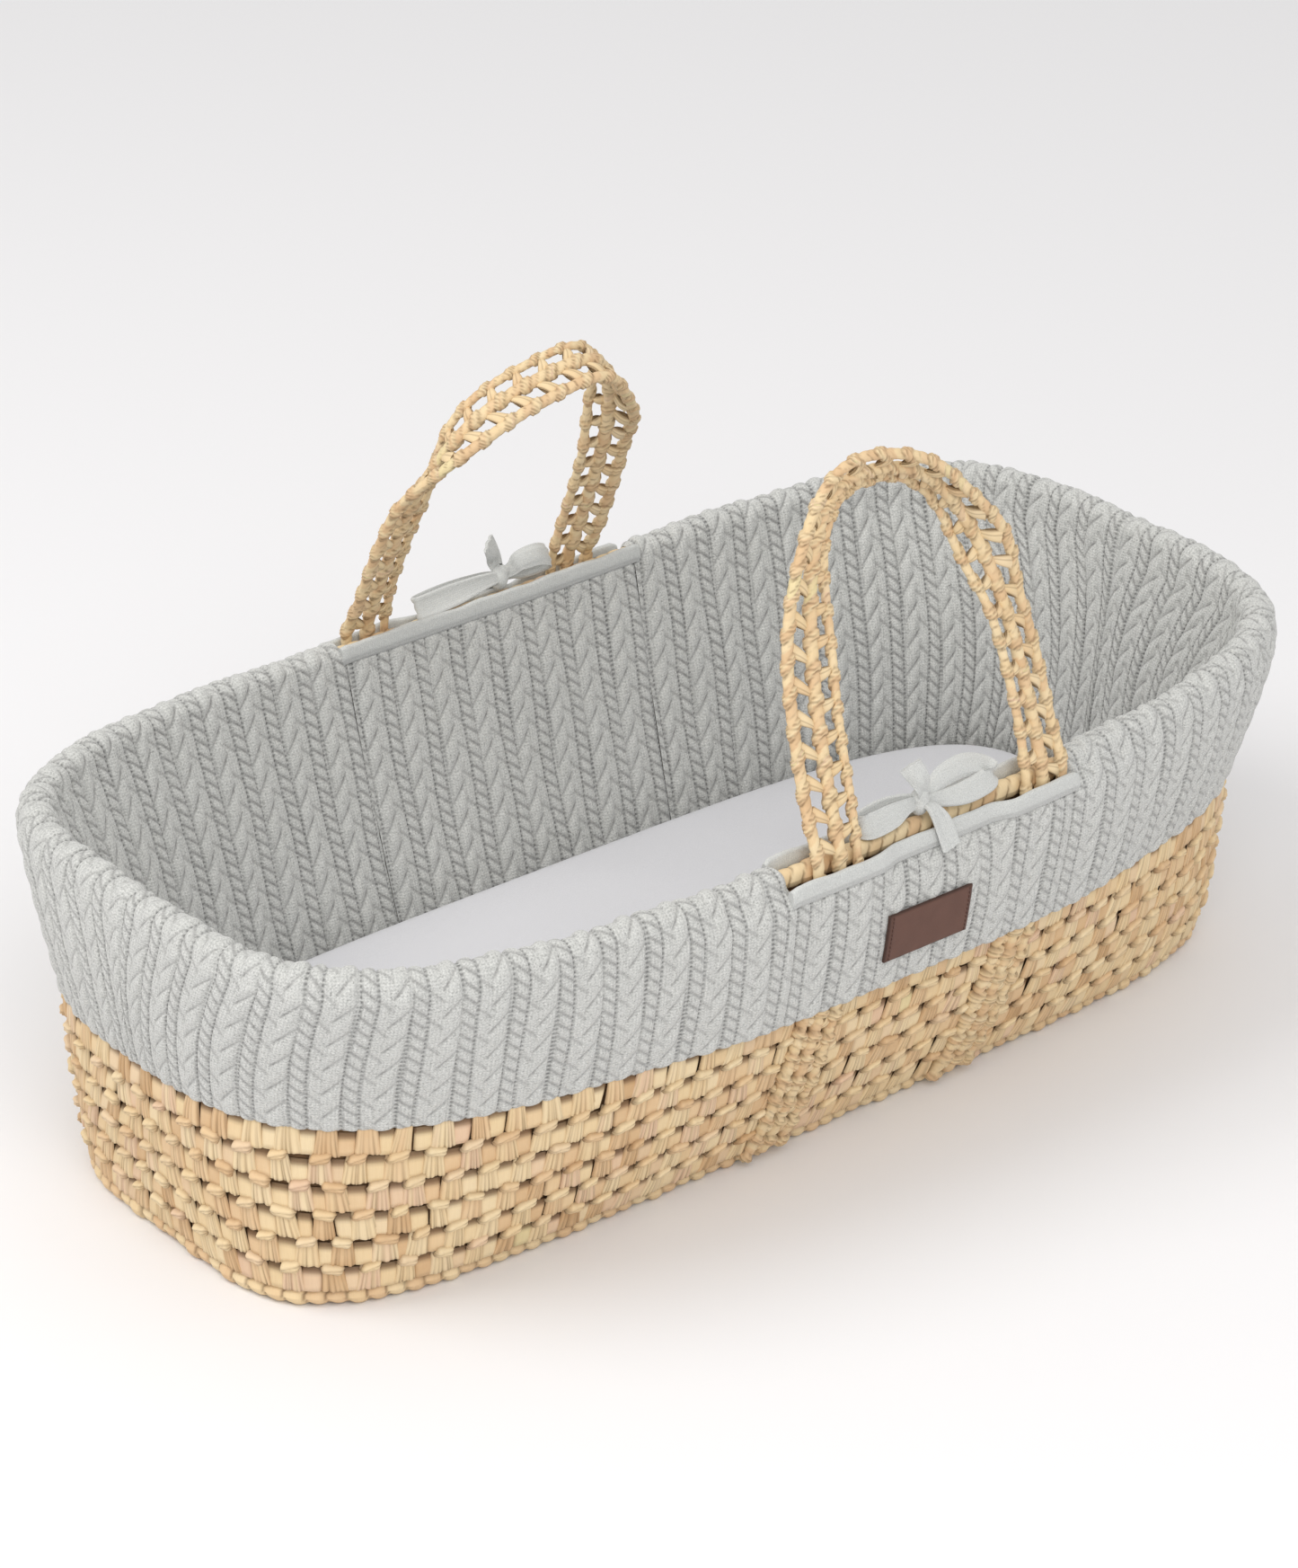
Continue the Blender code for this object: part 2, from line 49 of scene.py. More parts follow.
ALONG, UP = (1.0, 0, 0), (0, 0, 1.0)
ENDS = ("left", "right")
random = np.random.default_rng(11)

# The basket's shape, as the CAD source has it, in metres.
BASE_HALF_LENGTH = 0.392
BASE_HALF_WIDTH = 0.148
RIM_HALF_LENGTH = 0.417
RIM_HALF_WIDTH = 0.215
BASE_SQUARENESS = 5.0
RIM_SQUARENESS = 3.9
MIDDLE_SOFTENING = 1.3
RIM_HEIGHT = 0.2325
RIM_END_RISE = 0.012
RIM_HEAD_RISE = 0.005
GAP = 0.0003
BASE_COIL_HEIGHT = 0.0125
BASE_COIL_WIDTH = 0.012
RIM_COIL_RADIUS = 0.0065
STRAP_BASE_X = (-0.056, 0.103)
STRAP_THICKNESS = 0.008
STRAP_SIDE_GAP = 0.0005
HANDLE_HALF_SPAN = 0.0845
HANDLE_HEIGHT = {"front": 0.219, "back": 0.207}
HANDLE_ROUNDNESS = {"front": 2.6, "back": 3.0}
HANDLE_CENTRE_X = {"front": 0.034, "back": 0.006}
HANDLE_LEAN = {"front": math.radians(18), "back": math.radians(26)}
HANDLE_SWAY = {"front": 0.0, "back": -0.045}
HANDLE_SKEW = {"front": -0.05, "back": 0.13}
TWIST_START, TWIST_END = 0.11, 0.20
HINGE_OFFSET = STRAP_SIDE_GAP + STRAP_THICKNESS / 2
HINGE_Z = RIM_HEIGHT + RIM_COIL_RADIUS + STRAP_SIDE_GAP
LINER_THICKNESS = 0.004
HEM_HEIGHT = 0.1355
HEM_BAND_HEIGHT = 0.0065
LINER_SIDE_OFFSET = 0.0116
LINER_END_OFFSET = 0.0036
LINER_BULGE = 0.003
LINER_PULL_IN = 0.012
LINER_EASE = 0.12
LINER_STEP_OUT = 0.012
LINER_FLAP = 0.036
LINER_FOLD = 0.012
SLOT_ENDS = {"front": (-0.090, 0.139), "back": (-0.110, 0.134)}
BINDING_WIDTH = 0.0125
BINDING_THICKNESS = 0.0044
BOW_KNOT_X = {"front": 0.023, "back": 0.026}
LABEL_SIZE = (0.068, 0.0025, 0.034)
LABEL_CENTRE = (0.018, 0.174)
MATTRESS_HALF_LENGTH = 0.373
MATTRESS_HALF_WIDTH = 0.138
MATTRESS_SQUARENESS = 4.0
MATTRESS_TOP = 0.072
MATTRESS_BOTTOM = 0.0177

# How the cloth lies, beyond what the CAD solids show.
HEM_CURL = 0.0022
BINDING_TUCK = 0.004
BINDING_TOP = {"outer": 0.0035, "inner": 0.012}
BINDING_OVERLAP = 0.002
SLOT_PULL_IN = 0.0062
SLOT_PULL_DEPTH = 0.034
SLOT_PULL_EASE = 0.022
LEG_CLEARANCE = 0.026
RIBBON_CURL = 0.0016
RIBBON_THICKNESS = 0.0022
BOW_REACH = {"front": (0.042, 0.054), "back": (0.066, 0.03888)}
LABEL_SEAM = 0.925
SHEET_HEM = 0.040
SHEET_PUCKERS = 96
PAD_RADII = (0.013, 0.008)

# The palm work.
ROW_PITCH = 0.0205
ROWS = 6
PALM_REPEAT = 0.0225
LEAF_LEAN = 0.0012
FAN_HALF = (0.0082, 0.0052)
FAN_PROUD = (0.0054, 0.0026)
FAN_OVERLAP = 0.0010
PLEATS = (-0.62, -0.28, 0.05, 0.34, 0.66)
FLAT_HALF = 0.0061
FLAT_PROUD = (0.0045, 0.0013)
FLAT_SHORT = 0.0022
KNOT_HALF = (0.0064, 0.0046)
KNOT_PROUD = (0.0030, 0.0060)
KNOT_DROP = 0.0020
UNDER_STRAP_PROUD = 0.0012
STRAP_REACH = 0.0128
STRAP_COVER = 0.0175
STRAP_HALF_WIDTHS = (0.0043, 0.0050, 0.0043)
STRAP_DEPTH = 0.0046
STRAP_HEIGHTS = (0.011, 0.214)
STRAP_FOOT = ((0.012, 0.0042), (0.006, 0.0043), (0.0022, 0.0055), (0.0, 0.0080))
STRAP_LINKS = (
    (STRAP_REACH, 0.0085, (0.0052, 0.0075), 0.3),
    (-STRAP_REACH, 0.0060, (0.0070, 0.0055), 0.7),
)
BASE_STRAP_Z = 0.0028
LINK_PITCH = 0.0195
LINK_BOW = 0.0022
LEAF_THICKNESS = 0.0012
CORD_SIDES = 14
CORD_STEP = 0.0013
CORD_PLACE = {"outer": 0.0165, "middle": -0.0004, "inner": -0.0143}
CORD_HALF_WIDTH = {"outer": 0.0040, "middle": 0.0045, "inner": 0.0031}
CORD_HALF_DEPTH = {"outer": 0.0035, "middle": 0.0039, "inner": 0.0030}
HANDLE_LINKS = (
    (CORD_PLACE["outer"], 0.0080, (0.0040, 0.0092), 0.2),
    (CORD_PLACE["inner"], 0.0035, (0.0085, 0.0036), 0.7),
)
TIGHT_SHARE = 0.34
LEG_TWIST = math.radians(11)
TOP_TWIST = {"front": np.radians((-26.0, -88.0)), "back": np.radians((88.0, 88.0))}
BASE_WRAP = 0.0118
RIM_WRAP = 0.0105
MAT_WRAP = 0.0115
MAT_PITCH = 0.0196
MAT_ROUNDS = 7
MAT_HEIGHT = 0.0086

# The knit: ropes beside wide columns of crossing strands.
KNIT_REPEAT = 0.030
KNIT_STEP = 0.00102
ROPE = {"middle": 0.0058, "half": 0.0042, "pitch": 0.0088, "slant": 0.40, "height": 0.0023}
RIGHT_STRAND = {"middle": 0.0240, "half": 0.0056, "pitch": 0.0190, "slant": -0.34, "height": 0.0031}
LEFT_STRAND = {"middle": 0.0152, "half": 0.0042, "pitch": 0.0190, "slant": 0.20, "height": 0.0015}
GUTTERS = (0.0009, 0.0107)
GUTTER_WIDTH = 0.0008
CREASE_WIDTH = 0.0011
TUCK_PLACE = 0.0212
STITCH_WIDTH = 0.0022
STITCH_HEIGHT = 0.0019
HOLE_PITCH = 0.0031

# Colours.
LEAF = (
    (0.0, (0.50, 0.30, 0.14)),
    (0.14, (0.62, 0.40, 0.21)),
    (0.34, (0.72, 0.50, 0.29)),
    (0.52, (0.78, 0.60, 0.35)),
    (0.72, (0.81, 0.66, 0.42)),
    (0.88, (0.73, 0.50, 0.35)),
    (1.0, (0.74, 0.63, 0.35)),
)
# The last colour on the next line is painted shade for creases, edges and overhung parts of the leaf.
LEAF_STREAK, LEAF_BLOTCH, LEAF_FOLD_SHADE = (0.56, 0.36, 0.18), (0.86, 0.71, 0.48), (0.13, 0.06, 0.022)
# Painted shade: the near-black browns laid on the wall behind the leaf strips, so the gaps between them read
# as shadow.
WEAVE_SHADE_DARK, WEAVE_SHADE_LIGHT = (0.055, 0.025, 0.010), (0.22, 0.12, 0.05)
YARN = (
    (0.30, (0.26, 0.265, 0.25)),
    (0.45, (0.58, 0.585, 0.565)),
    (0.60, (0.69, 0.695, 0.67)),
    (0.72, (0.86, 0.86, 0.835)),
)
# The drift is the yarn's own tone; the crease, stitch-line and hole colours are painted shade.
YARN_DRIFT, YARN_CREASE_SHADE = (0.60, 0.60, 0.56), (0.20, 0.195, 0.19)
YARN_STITCH_SHADE, YARN_HOLE_SHADE = (0.22, 0.22, 0.22), (0.07, 0.07, 0.07)
JERSEY_FOLD_SHADE = (0.12, 0.12, 0.12)
BINDING_YARN = ((0.44, 0.45, 0.44), (0.66, 0.67, 0.65))
TIE_YARN = ((0.46, 0.47, 0.46), (0.68, 0.69, 0.67))
SHEET_YARN = ((0.62, 0.62, 0.65), (0.70, 0.70, 0.73))
LEATHER_DARK, LEATHER_LIGHT = (0.092, 0.041, 0.028), (0.138, 0.062, 0.043)
LEATHER_EDGE_SHADE = (0.045, 0.020, 0.014)
FOAM, ELASTIC, THREAD = (0.85, 0.82, 0.72), (0.8, 0.8, 0.8), (0.09, 0.04, 0.03)

# The camera's axes, place and lens, and the stage.
CAMERA_RIGHT = (0.77029, -0.63767, 0.00521)
CAMERA_UP = (0.28649, 0.35334, 0.89055)
CAMERA_BACK = (-0.56972, -0.68449, 0.45486)
CAMERA_PLACE = (-1.7589, -2.0925, 1.5820)
CAMERA_LENS = 109.73
FLOOR_REACH = 14.0
FLOOR_COLOUR = (0.85, 0.845, 0.86, 1.0)
SKY_COLOUR, SKY_STRENGTH = (1.0, 0.995, 0.985, 1.0), 0.71


def between(low, high, fraction):
    return low + (high - low) * fraction


def eased(fraction):
    fraction = np.clip(fraction, 0, 1)
    return fraction * fraction * (3 - 2 * fraction)


def bell(distance, width):
    return np.exp(-((distance / width) ** 2))


def from_edge(part):
    return np.minimum(part, 1 - part)


def lengths_along(points):
    return np.concatenate([[0], np.cumsum(np.linalg.norm(np.diff(points, axis=0), axis=1))])


def smooth_once(points):
    """Average each point of a path with its neighbours, in place."""
    points[1:-1] = (points[:-2] + 2 * points[1:-1] + points[2:]) / 4


def toward(side):
    return -1 if side == "front" else 1


# Round the basket


def outline(angle, half_length, half_width, squareness, spread=RIM_SQUARENESS):
    """Points of an outline at these angles, and its outward normals there."""
    cosine, sine = np.cos(angle), np.sin(angle)
    along = np.abs(cosine) ** (2 / spread)
    aside = np.maximum(1 - along**squareness, 0) ** (1 / squareness)
    x = np.copysign(along * half_length, cosine)
    y = np.copysign(aside * half_width, sine)
    slope_x = np.copysign(along ** (squareness - 1) / half_length, x)
    slope_y = np.copysign(aside ** (squareness - 1) / half_width, y)
    size = np.hypot(slope_x, slope_y)
    return x, y, slope_x / size, slope_y / size


def wall(angle, z, offset):
    """The wall's outer face at these angles and heights, moved outwards by offset."""
    angle, z, offset = np.broadcast_arrays(angle, z, offset)
    climb = np.clip(z / RIM_HEIGHT, 0, 1)
    flare = 1 - (1 - climb) ** 2
    squareness = between(BASE_SQUARENESS, RIM_SQUARENESS, climb)
    squareness = squareness - MIDDLE_SOFTENING * 4 * climb * (1 - climb)
    half_length = between(BASE_HALF_LENGTH, RIM_HALF_LENGTH, flare)
    half_width = between(BASE_HALF_WIDTH, RIM_HALF_WIDTH, flare)
    x, y, normal_x, normal_y = outline(angle, half_length, half_width, squareness)
    return np.stack([x + normal_x * offset, y + normal_y * offset, z], -1)


def wall_half_length(height):
    climb = np.clip(height / RIM_HEIGHT, 0, 1)
    return between(BASE_HALF_LENGTH, RIM_HALF_LENGTH, 1 - (1 - climb) ** 2)


def rim_height(angle):
    along = wall(angle, RIM_HEIGHT, 0)[..., 0] / RIM_HALF_LENGTH
    return RIM_HEIGHT + RIM_END_RISE * along**2 + RIM_HEAD_RISE * along


def angle_at(side, x, height=RIM_HEIGHT):
    reach = (np.abs(x) / wall_half_length(height)) ** (RIM_SQUARENESS / 2)
    return toward(side) * np.arccos(np.copysign(reach, x))


def side_panel_share(angle):
    """1 beside the handle slots, easing to 0 towards the ends of the basket."""
    place = wall(angle, RIM_HEIGHT, 0)
    low, high = (np.where(place[..., 1] < 0, *ends) for ends in zip(SLOT_ENDS["front"], SLOT_ENDS["back"]))
    beyond = np.maximum(np.maximum(low - place[..., 0], place[..., 0] - high), 0)
    return 1 - eased(beyond / LINER_EASE)


class Ring:
    """Length measured round the wall at one height, from the -X end anticlockwise, for two turns."""

    def __init__(self, place_at):
        share = np.linspace(0, 1, 1200)
        quarter = np.concatenate([np.arccos(share ** (RIM_SQUARENESS / 2)), share * math.pi / 2])
        circle = np.unique(np.concatenate([quarter, math.pi - quarter, -quarter, quarter - math.pi]))
        length = lengths_along(place_at(circle))
        self.total = length[-1]
        self.angles = np.concatenate([circle, circle[1:] + TAU])
        self.lengths = np.concatenate([length, length[1:] + self.total])

    def angle(self, length):
        return np.interp(length, self.lengths, self.angles)

    def length(self, angle):
        return np.interp(angle, self.angles, self.lengths)

    def evenly(self, step):
        """Lengths at about this step all the way round, and the angles there."""
        lengths = np.linspace(0, self.total, int(self.total / step), endpoint=False)
        return lengths, self.angle(lengths)


def ring_at(height):
    return Ring(lambda angle: wall(angle, height, 0))


# Meshes


def grid_faces(rows, columns, ring=False):
    """Faces of a grid of points, rows first; ring joins the last row to the first."""
    row = np.arange(rows if ring else rows - 1)[:, None]
    column = np.arange(columns - 1)[None, :]
    here = row * columns + column
    following = ((row + 1) % rows) * columns + column
    return np.stack([here, following, following + 1, here + 1], -1).reshape(-1, 4)


class Pieces:
    """Collects grids of points with their shading values, and makes one mesh of them."""

    def __init__(self):
        self.points, self.faces, self.uvs = [], [], []
        self.values = {}
        self.count = 0

    def add(self, points, uv, ring=False, flip=False, **values):
        """points is (grids, rows, columns, 3) or (rows, columns, 3)."""
        if points.ndim == 3:
            points = points[None]
        grids, rows, columns, _ = points.shape
        faces = grid_faces(rows, columns, ring)
        if flip:
            faces = faces[:, ::-1]
        starts = self.count + np.arange(grids)[:, None, None] * rows * columns
        self.faces.append((faces[None] + starts).reshape(-1, 4))
        self.points.append(points.reshape(-1, 3))
        self.uvs.append(np.broadcast_to(uv, (grids, rows, columns, 2)).reshape(-1, 2))
        for name, value in values.items():
            spread = np.broadcast_to(value, (grids, rows, columns)).reshape(-1)
            self.values.setdefault(name, []).append(spread)
        self.count += grids * rows * columns

    def make(self, name, material):
        faces = np.concatenate(self.faces)
        mesh = bpy.data.meshes.new(name)
        mesh.from_pydata(np.concatenate(self.points).tolist(), [], faces.tolist())
        layer = mesh.uv_layers.new(name="UVMap")
        layer.data.foreach_set("uv", np.concatenate(self.uvs)[faces.ravel()].astype(np.float32).ravel())
        for key, values in self.values.items():
            attribute = mesh.attributes.new(key, "FLOAT", "POINT")
            attribute.data.foreach_set("value", np.concatenate(values).astype(np.float32))
        mesh.shade_smooth()
        mesh.materials.append(material)
        made = bpy.data.objects.new(name, mesh)
        bpy.context.scene.collection.objects.link(made)
        return made


def stacked(*values):
    """Arrays that broadcast together, side by side on a new last axis."""
    return np.stack(np.broadcast_arrays(*values), -1)


def attach(piece, body, slot, *nodes):
    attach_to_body(piece, body)
    if nodes:
        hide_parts(*nodes)
    return piece


# Materials


class Look:
    """A procedural material, built node by node."""

    def __init__(self, name, roughness, **sockets):
        self.material = bpy.data.materials.new(name)
        self.material.use_nodes = True
        self.tree = self.material.node_tree
        self.main = self.tree.nodes["Principled BSDF"]
        self.main.inputs["Roughness"].default_value = roughness
        for socket, value in sockets.items():
            self.main.inputs[socket.replace("_", " ")].default_value = value

    def put(self, socket, value):
        if isinstance(value, bpy.types.NodeSocket):
            self.tree.links.new(value, socket)
        elif value is not None:
            socket.default_value = value

    def math(self, operation, *values):
        node = self.tree.nodes.new("ShaderNodeMath")
        node.operation = operation
        for socket, value in zip(node.inputs, values):
            self.put(socket, value)
        return node.outputs[0]

    def times(self, first, second):
        return self.math("MULTIPLY", first, second)

    def times_plus(self, first, second, third):
        return self.math("MULTIPLY_ADD", first, second, third)

    def wave(self, value, pitch):
        return self.math("SINE", self.times(value, TAU / pitch))

    def value(self, name):
        node = self.tree.nodes.new("ShaderNodeAttribute")
        node.attribute_name = name
        return node.outputs["Fac"]

    def uv(self):
        node = self.tree.nodes.new("ShaderNodeUVMap")
        node.uv_map = "UVMap"
        split = self.tree.nodes.new("ShaderNodeSeparateXYZ")
        self.put(split.inputs[0], node.outputs[0])
        return split.outputs[0], split.outputs[1]

    def stretched(self, u, v, u_scale, v_scale):
        node = self.tree.nodes.new("ShaderNodeCombineXYZ")
        self.put(node.inputs[0], self.times(u, u_scale))
        self.put(node.inputs[1], self.times(v, v_scale))
        return node.outputs[0]

    def noise(self, scale, detail=2.0, rough=0.5, vector=None):
        if vector is None:
            vector = self.tree.nodes.new("ShaderNodeTexCoord").outputs["Object"]
        node = self.tree.nodes.new("ShaderNodeTexNoise")
        self.put(node.inputs["Vector"], vector)
        for socket, value in (("Scale", scale), ("Detail", detail), ("Roughness", rough)):
            node.inputs[socket].default_value = value
        return node.outputs["Fac"]

    def ramp(self, value, stops):
        node = self.tree.nodes.new("ShaderNodeValToRGB")
        self.put(node.inputs[0], value)
        marks = node.color_ramp.elements
        while len(marks) < len(stops):
            marks.new(0.5)
        for mark, (position, colour) in zip(marks, stops):
            mark.position = position
            mark.color = (*colour, 1.0)
        return node.outputs[0]

    def mix(self, factor, first, second):
        node = self.tree.nodes.new("ShaderNodeMix")
        node.data_type = "RGBA"
        self.put(node.inputs["Factor"], factor)
        for socket, value in ((node.inputs["A"], first), (node.inputs["B"], second)):
            self.put(socket, (*value, 1.0) if isinstance(value, tuple) else value)
        return node.outputs["Result"]

    def bump(self, height, strength, distance):
        node = self.tree.nodes.new("ShaderNodeBump")
        self.put(node.inputs["Height"], height)
        node.inputs["Strength"].default_value = strength
        node.inputs["Distance"].default_value = distance
        self.put(self.main.inputs["Normal"], node.outputs[0])

    def colour(self, value):
        self.put(self.main.inputs["Base Color"], value)


def palm_look():
    """Dry palm leaf: straw, cream and tan strips with fibres along them, and painted shade in the folds."""
    look = Look("palm_leaf", 0.62, Specular_IOR_Level=0.35)
    u, v = look.uv()
    strip = look.ramp(look.value("tone"), LEAF)
    fibres = look.noise(1.0, 3.0, vector=look.stretched(u, v, 1500.0, 55.0))
    blotches = look.noise(60.0, 3.0)
    streaked = look.mix(look.times_plus(fibres, 0.5, -0.12), strip, LEAF_STREAK)
    blotched = look.mix(look.times_plus(blotches, 0.5, -0.14), streaked, LEAF_BLOTCH)
    # Painted shade: each piece's shade values darken the leaf towards a deep brown.
    fold = look.math("MINIMUM", look.times(look.value("fold"), 0.85), 0.92)
    look.colour(look.mix(fold, blotched, LEAF_FOLD_SHADE))
    look.bump(fibres, 0.35, 0.0006)
    return look.material


def backing_look():
    """The shaded depth of the weave between the leaf strips."""
    look = Look("palm_depth", 0.9)
    depth = look.noise(220.0, 3.0)
    # Painted shade, a dark brown with a little noise.
    look.colour(look.mix(depth, WEAVE_SHADE_DARK, WEAVE_SHADE_LIGHT))
    look.bump(depth, 0.5, 0.001)
    return look.material


def knit_look():
    """Heather-grey cotton: flecked yarn, stitch columns, and painted shade in the stitch grooves, the strand
    creases and the holes of the purl gutters.
    """
    look = Look("cable_knit", 0.95, Sheen_Weight=0.25, Sheen_Roughness=0.6)
    u, v = look.uv()
    flecks = look.noise(760.0, 3.0, 0.75)
    soft = look.noise(260.0)
    drifted = look.mix(look.times(look.noise(14.0), 0.25), look.ramp(flecks, YARN), YARN_DRIFT)
    chevron = look.math("ABSOLUTE", look.wave(u, 2 * STITCH_WIDTH))
    rows = look.times_plus(chevron, 2.6, look.times(v, TAU / STITCH_HEIGHT))
    column = look.times(look.wave(u, STITCH_WIDTH), 0.35)
    stitches = look.times_plus(look.math("SINE", rows), 0.5, column)
    dots = look.times_plus(look.wave(v, HOLE_PITCH), 0.5, 0.5)
    holes = look.times(look.value("gutter"), look.times_plus(dots, 0.80, 0.20))
    # Painted shade in the strand creases, the stitch grooves and the gutter holes.
    creased = look.mix(look.times(look.value("crease"), 0.80), drifted, YARN_CREASE_SHADE)
    lined = look.mix(look.times_plus(stitches, -0.20, 0.18), creased, YARN_STITCH_SHADE)
    look.colour(look.mix(look.times(holes, 0.92), lined, YARN_HOLE_SHADE))
    height = look.times_plus(stitches, 0.5, look.times(flecks, 1.6))
    height = look.times_plus(holes, -2.0, height)
    look.bump(look.times_plus(soft, 0.8, height), 0.55, 0.0006)
    return look.material


def jersey_look(name, yarn, strength=0.4):
    """Plain jersey: fine ribs of stitches and a soft flecked yarn."""
    look = Look(name, 0.92, Sheen_Weight=0.2, Sheen_Roughness=0.6)
    u, v = look.uv()
    flecks = look.noise(1500.0, 3.0, 0.7)
    flecked = look.ramp(flecks, list(zip((0.32, 0.68), yarn)))
    stitches = look.times_plus(look.wave(u, 0.0014), 0.5, look.times(look.wave(v, 0.0011), 0.3))
    # Painted shade from each piece's shade values.
    look.colour(look.mix(look.times(look.value("fold"), 0.55), flecked, JERSEY_FOLD_SHADE))
    look.bump(look.times_plus(stitches, 0.4, flecks), strength, 0.0005)
    return look.material


def leather_look():
    look = Look("brown_leather", 0.55, Specular_IOR_Level=0.4)
    grain = look.noise(900.0, 4.0, 0.6)
    mottled = look.mix(look.noise(70.0, 3.0), LEATHER_DARK, LEATHER_LIGHT)
    # Painted shade from each piece's shade values.
    look.colour(look.mix(look.times(look.value("fold"), 0.8), mottled, LEATHER_EDGE_SHADE))
    look.bump(grain, 0.35, 0.0004)
    return look.material


def plain_look(name, colour, roughness):
    look = Look(name, roughness)
    flecks = look.noise(800.0, 3.0)
    darker = tuple(channel * 0.86 for channel in colour)
    look.colour(look.mix(flecks, darker, colour))
    look.bump(flecks, 0.3, 0.0004)
    return look.material


# The palm wall


def pick(values, index):
    return values[np.asarray(index, int) % len(values)]


TONES = random.random(997)


def leaf_tones(count, band):
    """Mostly straw and cream, with an odd tan or pinkish strip, and one drift of colour per row."""
    tone = 0.50 + 0.18 * random.standard_normal(count) + 0.06 * math.sin(band * 2.1)
    odd = random.random(count)
    tone = np.where(odd > 0.90, 0.88, tone)
    tone = np.where(odd < 0.06, 0.14, tone)
    return np.clip(tone, 0.03, 1.0)[:, None, None]


def scatter(count, spread):
    """A small random difference for each strip."""
    return spread * random.standard_normal((count, 1, 1))


def patch_grid(across, up):
    """Places across and up a leaf patch, as arrays that broadcast over the patches of a row."""
    return np.asarray(across)[None, :, None], np.asarray(up)[None, None, :]


def under_strap(points):
    """Whether each point of the wall lies beneath one of the carry straps."""
    x, y, z = points[..., 0], points[..., 1], points[..., 2]
    covered = np.zeros(x.shape, bool)
    for side in ("front", "back"):
        for end in (0, 1):
            middle = between(STRAP_BASE_X[end], leg_x(side, end), z / HINGE_Z)
            covered |= (np.abs(x - middle) < STRAP_COVER) & (y * toward(side) > 0)
    return covered


def wall_patch(pieces, ring, centre, low, across, up, offset, tone, fold, fibre):
    """Leaf patches on the wall: (grids, rows, columns) arrays of places along, up and out."""
    angle = ring.angle((centre[:, None, None] + across) % ring.total)
    covered = under_strap(wall(angle, low + up, 0))
    points = wall(angle, low + up, np.where(covered, np.minimum(offset, UNDER_STRAP_PROUD), offset))
    # Painted shade beneath the carry straps.
    fold = np.where(covered, np.maximum(fold, 0.8), fold)
    pieces.add(points, stacked(*fibre), tone=tone, fold=fold)


def add_fans(pieces, ring, centre, low, band):
    """The pleated wraps that fan out below each knot: a runs across a fan, b from foot to head."""
    count = len(centre)
    a, b = patch_grid(np.linspace(-1, 1, 23), (0, 0.03, 0.12, 0.26, 0.42, 0.6, 0.8, 1.0))
    half = between(*FAN_HALF, b**0.9) * (1 + scatter(count, 0.10))
    across = a * half - (LEAF_LEAN + scatter(count, 0.0013)) * (1 - b)
    ragged = 0.0005 * np.sin(a * 7 + 6 * random.random((count, 1, 1))) * (1 - b)
    up = b * (ROW_PITCH + FAN_OVERLAP) - 0.0004 + ragged + scatter(count, 0.0004)
    pleat = np.zeros((count, a.size, b.size))
    for place in PLEATS:
        where = place + scatter(count, 0.09)
        depth = 0.35 + 0.65 * random.random((count, 1, 1))
        pleat = np.maximum(pleat, depth * bell(a - where, 0.07))
    pleat = pleat * between(1.0, 0.45, b) * (b > 0)
    body = between(*FAN_PROUD, b) + 0.0007 * np.sin(math.pi * b)
    offset = body * between(0.5, 1, 1 - np.abs(a) ** 8) - 0.0012 * pleat
    offset = np.where(b == 0, 0.0012, offset)
    # Painted shade in the pleat creases, at the side edges and foot, and at the head where the row above
    # overhangs.
    fold = 0.72 * pleat + 0.6 * np.abs(a) ** 14 + 0.7 * (b == 0) + 0.5 * (b > 0.9)
    tone = leaf_tones(count, band) + 0.05 * np.sin(a * 5 + band)
    wall_patch(pieces, ring, centre, low, across, up, offset, tone, fold, (across, up))


def add_flats(pieces, ring, centre, low, band):
    """The plain upright wraps between the fans, painted dark as shade where they dip under the row above."""
    count = len(centre)
    a, b = patch_grid(np.linspace(-1, 1, 9), (0, 0.03, 0.25, 0.5, 0.62, 0.72, 0.80, 0.90, 1.0))
    half = FLAT_HALF + scatter(count, 0.0005)
    across = a * half - (LEAF_LEAN + scatter(count, 0.0008)) * (1 - b)
    top = ROW_PITCH - FLAT_SHORT - 0.0034 * random.random((count, 1, 1)) ** 1.3
    up = b * top - 0.0001 + scatter(count, 0.0003) * (1 - b)
    offset = between(*FLAT_PROUD, b) + 0.0007 * np.sin(math.pi * b)
    offset = offset * between(0.55, 1, 1 - np.abs(a) ** 6)
    offset = np.where(b == 0, 0.0010, offset)
    offset = np.where(b == 1, 0.0003, offset)
    shade_under_row = np.clip((b - 0.64) / 0.20, 0, 1) ** 1.5
    # Painted shade at the side edges, at the foot, and under the row above.
    fold = 0.4 * np.abs(a) ** 12 + 0.95 * shade_under_row + 0.6 * (b == 0)
    tone = leaf_tones(count, band + 0.6) + 0.04
    wall_patch(pieces, ring, centre, low, across, up, offset, tone, fold, (across, up))


